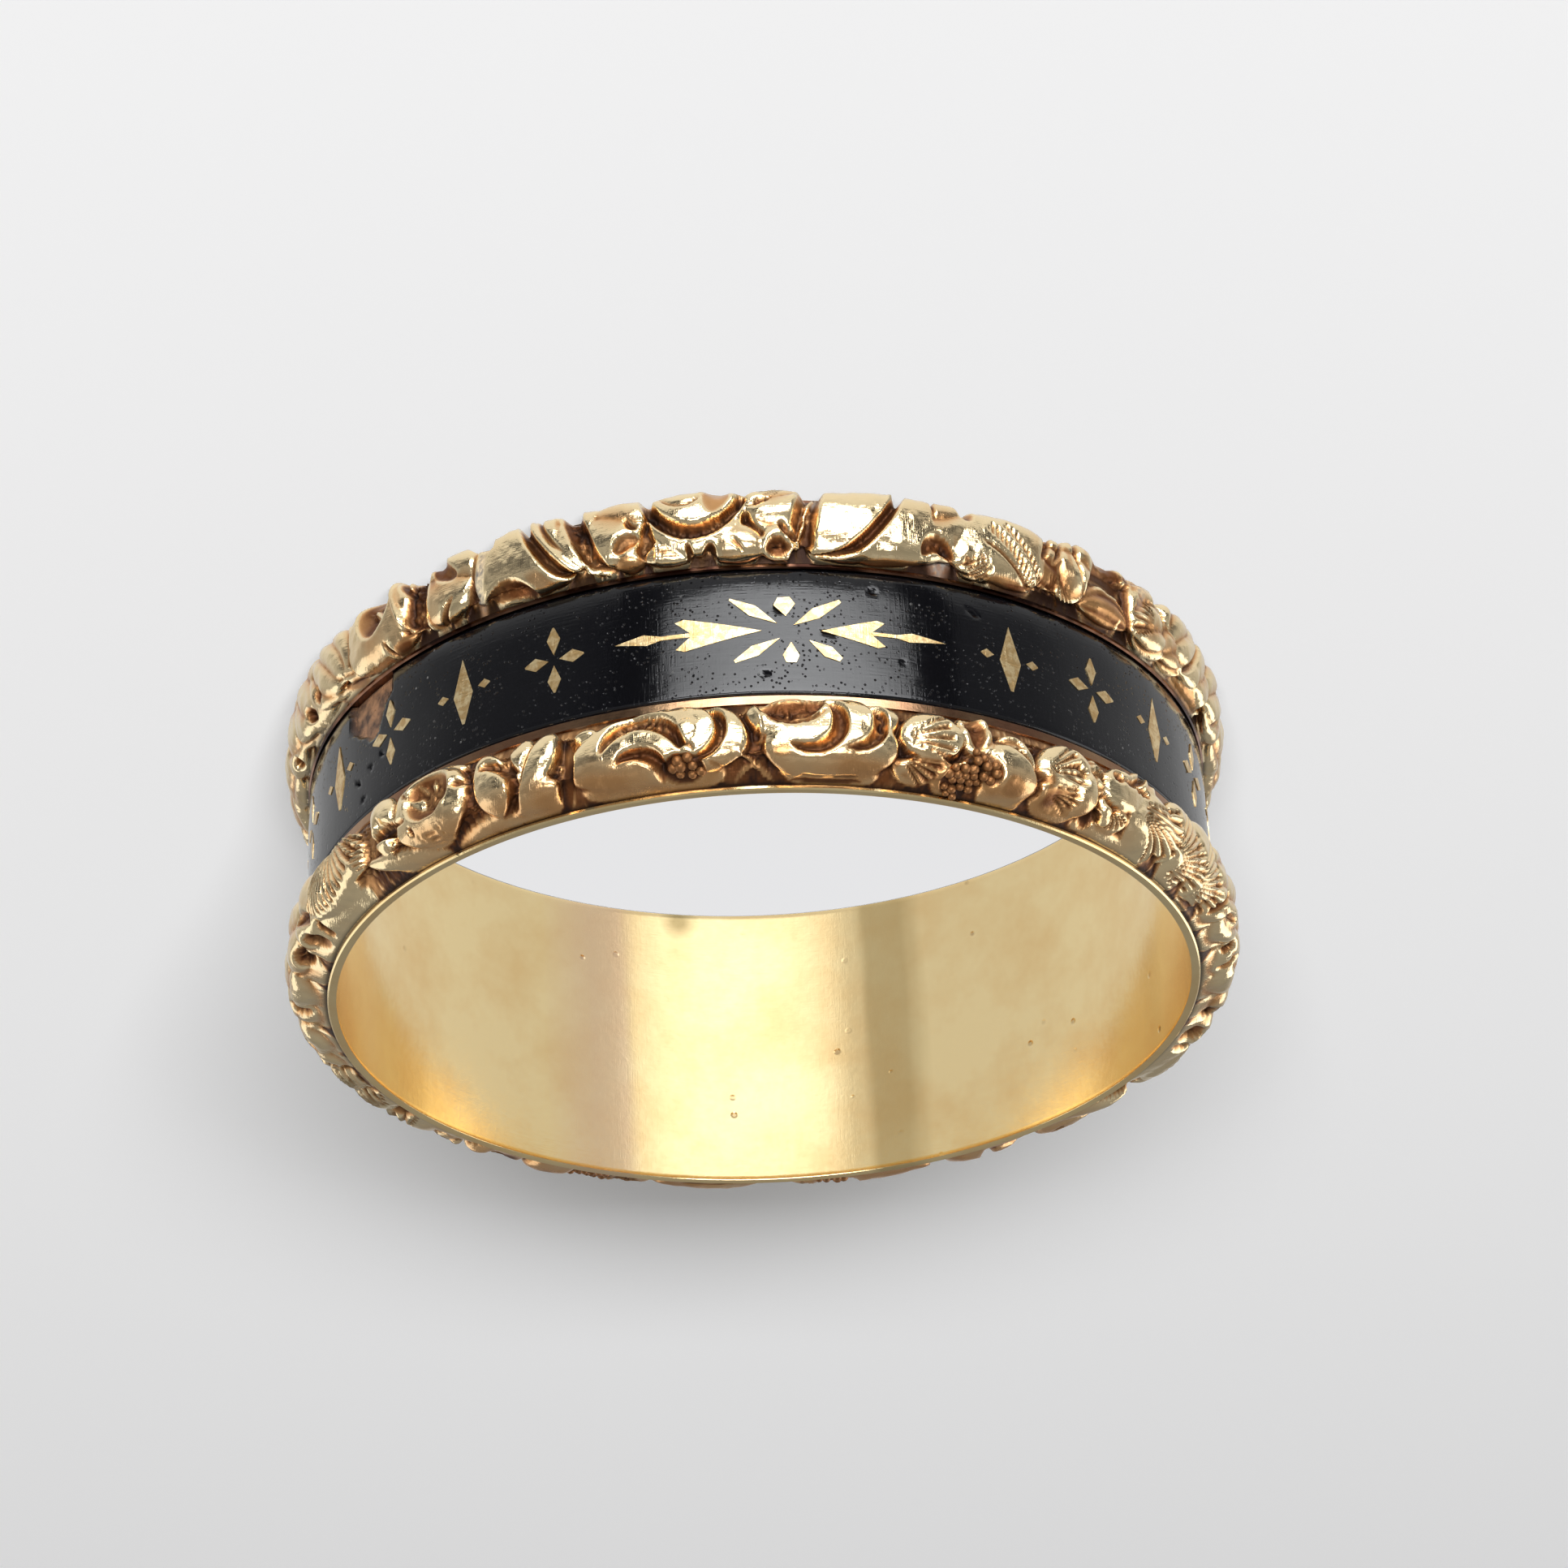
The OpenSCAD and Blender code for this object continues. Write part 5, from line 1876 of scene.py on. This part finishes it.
@dataclass
class GoldFigures:
    """Flat gold figures that stand in the enamel: the star and the small ones.

    Args:
        sizes: the ring's sizes.
        proud: height of the figures over the enamel.
        ease: width of the rounding round their faces.
        strip: width of the flat strips that a bent face is made of.
        bite: depth to which they stand in the bed.
    """

    sizes: RingSizes
    proud: float = 0.012
    ease: float = 0.018
    strip: float = 0.12
    bite: float = 0.02

    def petal(self, row: tuple, size: float, shoulder: float, blunt: float) -> Outline:
        """Outline of a petal from its tip to its end.

        Args:
            row: tip, end and width, in shares of the size.
            size: height of the figure.
            shoulder: share of the length at which it is widest.
            blunt: width left at its end, as a share of the widest.

        Returns:
            The outline.
        """
        tip, end = np.array(row[0:2]) * size, np.array(row[2:4]) * size
        along = end - tip
        side = np.array([-along[1], along[0]]) / np.hypot(*along) * row[4] * size / 2
        knee = tip + along * shoulder
        return [tip, knee + side, end + side * blunt, end - side * blunt, knee - side]

    def arrow(self, side: int, tip: float, long: float, high: float, barb: float) -> Outline:
        """Outline of an arrow of the star figure.

        Args:
            side: +1 for the right one and -1 for the left one.
            tip: place of its tip.
            long: its length.
            high: its height at the barbs.
            barb: share of the length at which the barbs are.

        Returns:
            The outline.
        """
        shape = [
            (0, 0), (barb - 0.06, 0.5), (barb, 0.42), (barb - 0.1, 0.06), (barb + 0.1, 0.06),
            (barb + 0.22, 0.18), (1, 0), (barb + 0.2, -0.16), (barb + 0.1, -0.06),
            (barb - 0.1, -0.06), (barb, -0.42), (barb - 0.06, -0.5),
        ]
        return [(side * (tip + x * long), y * high) for x, y in shape]

    def plate(self, work: bmesh.types.BMesh, outline: Outline, angle: float) -> None:
        """Adds one plate, bent round the ring, with an eased face.

        Args:
            work: mesh the plate is added to.
            outline: its outline, drawn flat.
            angle: angle of its middle round the ring.
        """
        s = self.sizes
        flat = bmesh.new()
        face = flat.faces.new([flat.verts.new((x, y, 0)) for x, y in outline])
        xs = [x for x, _ in outline]
        following = [*outline[1:], outline[0]]
        if sum(a[0] * b[1] - b[0] * a[1] for a, b in zip(outline, following)) < 0:
            face.normal_flip()
        bmesh.ops.inset_region(flat, faces=[face], thickness=self.ease, use_even_offset=True)
        crown = set(face.verts)
        for v in flat.verts:
            v.co.z = s.face_r + self.proud - (0 if v in crown else self.ease * 0.6)
        skirt = bmesh.ops.extrude_edge_only(flat, edges=[e for e in flat.edges if e.is_boundary])
        for v in skirt["geom"]:
            if isinstance(v, bmesh.types.BMVert):
                v.co.z = s.bed_r - self.bite
        bmesh.ops.edgeloop_fill(flat, edges=[e for e in flat.edges if e.is_boundary])
        for cut in np.arange(min(xs) + self.strip, max(xs), self.strip):
            bmesh.ops.bisect_plane(
                flat, geom=flat.verts[:] + flat.edges[:] + flat.faces[:],
                plane_co=(cut, 0, 0), plane_no=(1, 0, 0),
            )
        for v in flat.verts:
            x, y, r = v.co
            v.co = Vector(around(*map(np.array, (angle + x / s.face_r / RAD, r, s.tray_mid - y))))
        scratch = bpy.data.meshes.new("plate")
        flat.to_mesh(scratch)
        flat.free()
        work.from_mesh(scratch)
        bpy.data.meshes.remove(scratch)

    def small(self, rows: list) -> bpy.types.Object:
        """Builds one small figure at angle 0, as a pattern for the instances.

        Args:
            rows: its petals.

        Returns:
            The pattern.
        """
        work = bmesh.new()
        for row in rows:
            self.plate(work, self.petal(row, self.sizes.figure_h, 0.55, 0.12), 0.0)
        mesh = bpy.data.meshes.new("small_figure")
        work.to_mesh(mesh)
        work.free()
        pattern = bpy.data.objects.new("small_figure", mesh)
        bpy.context.scene.collection.objects.link(pattern)
        return pattern

    def build(self) -> bpy.types.Object:
        """Builds the star and sets the small figures round the rest of the band.

        Returns:
            The piece.
        """
        s = self.sizes
        work = bmesh.new()
        for row in STAR_PETALS:
            self.plate(work, self.petal(row, s.star_h, row[5], row[6]), s.star_angle)
        for side, tip, long, high, barb in STAR_ARROWS:
            outline = self.arrow(side, tip * s.star_h, long * s.star_h, high * s.star_h, barb)
            self.plate(work, outline, s.star_angle)
        star = bpy.data.meshes.new("star")
        work.to_mesh(star)
        work.free()
        lozenge, blossom = self.small(LOZENGE), self.small(BLOSSOM)
        step = (360 - 2 * s.star_half_span) / s.figures
        metal = SatinGold(
            "figure_gold", tint=(0.99, 0.8, 0.46), deep=(0.62, 0.38, 0.14),
            roughness=0.32, streak=0.5, drift=0.5, speckle=0.75,
        )
        tree = GeometryTree("figures_round_band", {
            "Count": s.figures, "First": s.star_angle + s.star_half_span, "Step": step,
            "Lozenge": lozenge, "Blossom": blossom, "Material": metal.material(),
        })
        points = tree.add("Points", Count=tree.given("Count"))
        index = tree.add("InputIndex").outputs[0]
        place = tree.math("ADD", index, 0.5)
        turn = tree.scaled(place, tree.given("Step"), tree.given("First"))
        turn = tree.times(tree.math("RADIANS", turn), -1.0)
        rotation = tree.add("ShaderNodeCombineXYZ", Z=turn).outputs[0]
        odd = tree.math("GREATER_THAN", tree.math("MODULO", index, 2.0), 0.5)
        even = tree.math("SUBTRACT", 1.0, odd)
        joined = tree.add("JoinGeometry")
        tree.put(joined.inputs[0], tree.given("Geometry"))
        for name, chosen in (("Lozenge", even), ("Blossom", odd)):
            shape = tree.add("ObjectInfo", Object=tree.given(name))
            placed = tree.add(
                "InstanceOnPoints", Points=points.outputs[0], Selection=chosen,
                Instance=shape.outputs["Geometry"], Rotation=rotation,
            )
            tree.put(joined.inputs[0], placed.outputs[0])
        tree.close(joined.outputs[0])
        piece = tree.apply("gold_figures", star)
        for pattern in (lozenge, blossom):
            bpy.data.objects.remove(pattern)
        return piece


@dataclass
class BerryClusters:
    """Round berries of the chased borders, set on charted places.

    Args:
        places: centre and radius of each, in metres.
        unevenness: share by which their sizes differ.
        stain: share of tarnish on them.
    """

    places: list[tuple[Vector, float]]
    unevenness: float = 0.12
    stain: float = 0.86

    def build(self) -> bpy.types.Object:
        """Sets a ball on every place.

        Returns:
            The piece.
        """
        seed = bpy.data.meshes.new("berry_places")
        seed.from_pydata([tuple(p) for p, _ in self.places], [], [])
        sizes = seed.attributes.new("size", "FLOAT", "POINT")
        sizes.data.foreach_set("value", [r for _, r in self.places])
        tree = GeometryTree("berries_on_places", {
            "Rings": 2, "Unevenness": self.unevenness, "Stain": self.stain,
            "Material": ChasedGold("berry_gold").material(),
        })
        ball = tree.add("MeshIcoSphere", Radius=1.0, Subdivisions=tree.given("Rings"))
        soft = tree.add("SetShadeSmooth", Geometry=ball.outputs[0], Shade_Smooth=True)
        size = tree.add("InputNamedAttribute", Name="size").outputs[0]
        low = tree.math("SUBTRACT", 1.0, tree.given("Unevenness"))
        high = tree.math("ADD", 1.0, tree.given("Unevenness"))
        swell = tree.add("FunctionNodeRandomValue", {"data_type": "FLOAT"}, Seed=5)
        # The sockets for plain numbers come after those for vectors
        tree.put(swell.inputs[2], low)
        tree.put(swell.inputs[3], high)
        scale = tree.times(size, swell.outputs[1])
        toned = tree.add(
            "StoreNamedAttribute", Geometry=soft.outputs[0], Name="stain", Value=tree.given("Stain")
        )
        placed = tree.add(
            "InstanceOnPoints",
            Points=tree.given("Geometry"), Instance=toned.outputs[0], Scale=scale,
        )
        tree.close(placed.outputs[0])
        return tree.apply("berries", seed)


class Lights(Enum):
    """What a card of light shines on."""

    METAL = "metal"
    FLOOR = "floor"


@dataclass(frozen=True)
class Card:
    """Soft card of light that faces the ring.

    Args:
        name: name of the card.
        rise: degrees above the floor, seen from the ring.
        swing: degrees to the side, growing to the right of the picture.
        reach: distance from the ring, in metres.
        width: its width.
        height: its height.
        power: its radiance.
        lights: what it shines on.
        fading: whether the light falls off from the card's middle.
    """

    name: str
    rise: float
    swing: float
    reach: float
    width: float
    height: float
    power: float
    lights: Lights = Lights.METAL
    fading: bool = False

    def place(self) -> Vector:
        """Where the card hangs.

        Returns:
            The place in metres, with the ring at the origin.
        """
        level = self.reach * math.cos(self.rise * RAD)
        side, away = math.sin(self.swing * RAD), math.cos(self.swing * RAD)
        return Vector((-level * side, -level * away, self.reach * math.sin(self.rise * RAD)))


CARDS = [
    Card("key_card", 72, 0, 0.75, 0.6, 0.3, 0.4),
    Card("front_card", 17, 0, 0.8, 0.66, 0.2, 9.0),
    Card("left_card", 22, -112, 0.8, 1.1, 0.6, 1.2),
    Card("right_card", 22, 112, 0.8, 1.1, 0.6, 1.9),
    Card("window_card", -25.5, 9, 0.6, 0.72, 0.2, 8.6, fading=True),
    Card("left_frame", -26, -27.5, 0.6, 0.115, 0.3, 0.02),
    Card("right_frame", -26, 45.5, 0.6, 0.115, 0.3, 0.02),
    Card("floor_card", 20, 4, 0.8, 0.42, 0.12, 78.0, Lights.FLOOR),
]
# Brightness of the room by the height of the direction, -1 to 1
ROOM_BY_HEIGHT = [(-1.0, 0.92), (-0.6, 0.75), (-0.1, 0.4), (0.2, 0.24), (1.0, 0.34)]
# Colour of the dark ground below the horizon, and its share by height and by depth
DARK_GROUND = (0.07, 0.072, 0.082)
DARK_BY_HEIGHT = [(-0.62, 0.0), (-0.54, 1.0), (-0.34, 1.0), (-0.2, 0.0)]
DARK_BY_DEPTH = [(-0.7, 1.0), (-0.6, 0.87), (-0.2, 0.74), (0.05, 0.42), (0.5, 0.0)]


@dataclass
class Studio:
    """Pale floor, soft light and the camera at the photograph's angle.

    Args:
        sizes: the ring's sizes.
        glow: light of the floor itself beside the ring.
        slope: how fast that light fades away from the eye, for each metre.
        lens: focal length of the camera, in millimetres.
        eye: place of the camera, in millimetres.
        turn: turn of the camera about each axis, in degrees.
    """

    sizes: RingSizes
    glow: float = 0.32
    slope: float = 1.2
    lens: float = 131.94
    eye: tuple[float, float, float] = (0.06, -108.37, 61.23)
    turn: tuple[float, float, float] = (-61.13, -2.16, 179.16)

    def build(self) -> None:
        """Makes the floor, the light and the camera."""
        self.floor()
        self.world()
        for card in CARDS:
            self.hang(card)
        self.camera()

    def floor(self) -> None:
        """Lays a pale floor, lit a little from below, that metal doesn't mirror."""
        bpy.ops.mesh.primitive_plane_add(size=4.0)
        floor = bpy.context.object
        floor.name = "floor"
        kit = Nodes("pale_floor")
        kit.feed(Base_Color=(0.76, 0.76, 0.765), Roughness=0.9)
        kit.feed(Emission_Color=(1.0, 0.98, 0.955))
        depth = kit.axes(kit.place)[1]
        kit.feed(Emission_Strength=kit.scaled(depth, -self.slope, self.glow))
        floor.data.materials.append(kit.material)
        floor.visible_glossy = False
        # Glowing discs in the finger hole: painted light on the floor seen there, and a copy that
        # the metal mirrors
        self.bore_floor("bore_floor_seen", 0.8, 1.0)
        self.bore_floor("bore_floor_mirrored", 0.76, 0.86)

    def bore_floor(self, name: str, light: float, cover: float) -> None:
        """Lays a glowing disc over the floor that shows through the finger hole: painted light that
        keeps it evenly bright, without the ring's shadow.

        Args:
            name: name of the disc.
            light: its brightness.
            cover: how opaque it is; below 1 it is seen in the metal only.
        """
        # A hair inside the finger hole, and a hair above the floor
        bpy.ops.mesh.primitive_circle_add(
            vertices=96, radius=self.sizes.bore_r * 0.998 * MM, fill_type="NGON",
            location=(0, 0, 0.01 * MM),
        )
        disc = bpy.context.object
        disc.name = name
        kit = Nodes(name)
        kit.feed(Base_Color=(0.0, 0.0, 0.0), Specular_IOR_Level=0.0, Alpha=cover)
        kit.feed(Emission_Color=(0.985, 0.985, 1.0), Emission_Strength=light)
        disc.data.materials.append(kit.material)
        disc.visible_camera = cover == 1.0
        disc.visible_glossy = cover < 1.0
        disc.visible_diffuse = False
        disc.visible_shadow = False

    def world(self) -> None:
        """Sets a soft surrounding light, brighter above."""
        world = bpy.data.worlds.new("soft_room")
        bpy.context.scene.world = world
        world.use_nodes = True
        world.cycles_visibility.diffuse = False
        kit = NodeKit(world.node_tree)
        axes = kit.axes(kit.add("ShaderNodeTexCoord").outputs["Generated"])
        room = self.by_axis(kit, axes[2], ROOM_BY_HEIGHT)
        low = self.by_axis(kit, axes[2], DARK_BY_HEIGHT)
        near = self.by_axis(kit, axes[1], DARK_BY_DEPTH)
        colour = kit.mix(kit.times(low, near), room, DARK_GROUND)
        kit.put(kit.tree.nodes["Background"].inputs[0], colour)

    def by_axis(self, kit: NodeKit, axis: Socket, stops: list) -> Socket:
        """Value by the direction's part along an axis, with stops from -1 to 1."""
        half = kit.scaled(axis, 0.5, 0.5)
        return kit.ramp(half, [(place / 2 + 0.5, value) for place, value in stops])

    def hang(self, card: Card) -> None:
        """Hangs a card of light that faces the ring.

        Args:
            card: the card.
        """
        place = card.place()
        bpy.ops.mesh.primitive_plane_add(size=1.0, location=place)
        plane = bpy.context.object
        plane.name = card.name
        plane.scale = (card.width, card.height, 1)
        target = Vector((0, 0, self.sizes.band_w * MM / 2))
        plane.rotation_mode = "QUATERNION"
        plane.rotation_quaternion = (target - place).to_track_quat("Z", "Y")
        kit = Nodes(card.name)
        kit.feed(Base_Color=(0.0, 0.0, 0.0), Emission_Color=(0.975, 0.985, 1.0))
        kit.feed(Emission_Strength=card.power)
        if card.fading:
            # Falls off to both sides and grows a little upwards
            x, y, _ = kit.axes(kit.place)
            light = kit.scaled(kit.times(x, x), -2.6, 1.0)
            light = kit.scaled(y, 0.6, light)
            kit.feed(Emission_Strength=kit.times(light, card.power))
        plane.data.materials.append(kit.material)
        plane.visible_camera = False
        plane.visible_shadow = False
        plane.visible_glossy = card.lights is Lights.METAL
        plane.visible_diffuse = card.lights is Lights.FLOOR

    def camera(self) -> None:
        """Sets the camera at the photograph's angle."""
        data = bpy.data.cameras.new("camera")
        data.lens = self.lens
        data.clip_start = 0.01
        eye = bpy.data.objects.new("camera", data)
        eye.location = [c * MM for c in self.eye]
        eye.rotation_euler = [c * RAD for c in self.turn]
        bpy.context.scene.collection.objects.link(eye)
        bpy.context.scene.camera = eye
        bpy.context.scene.view_settings.view_transform = "Standard"


def main() -> None:
    """Builds and dresses every piece, lights the scene and sets the camera."""
    logging.basicConfig(level=logging.INFO, format="%(name)s: %(message)s")
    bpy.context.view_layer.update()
    sizes = RingSizes.from_record(frame["record"])
    Studio(sizes).build()
    upper = ChasedBorder(sizes, Side.UPPER, UPPER_CHART, lap=-0.6)
    lower = ChasedBorder(sizes, Side.LOWER, LOWER_CHART)
    gold = [upper.build(), lower.build(), Hoop(sizes).build(), GoldFigures(sizes).build()]
    gold.append(BerryClusters(upper.berry_points() + lower.berry_points()).build())
    enamel = EnamelBand(sizes).build()
    for piece in gold:
        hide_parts("gold_ring")
        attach(piece, "root")
    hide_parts("enamel_band")
    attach(enamel, "root")
    for piece in [*gold, enamel]:
        piece.visible_diffuse = False
        log.info("%s: %d faces", piece.name, len(piece.data.polygons))


if __name__ == "__main__":
    main()
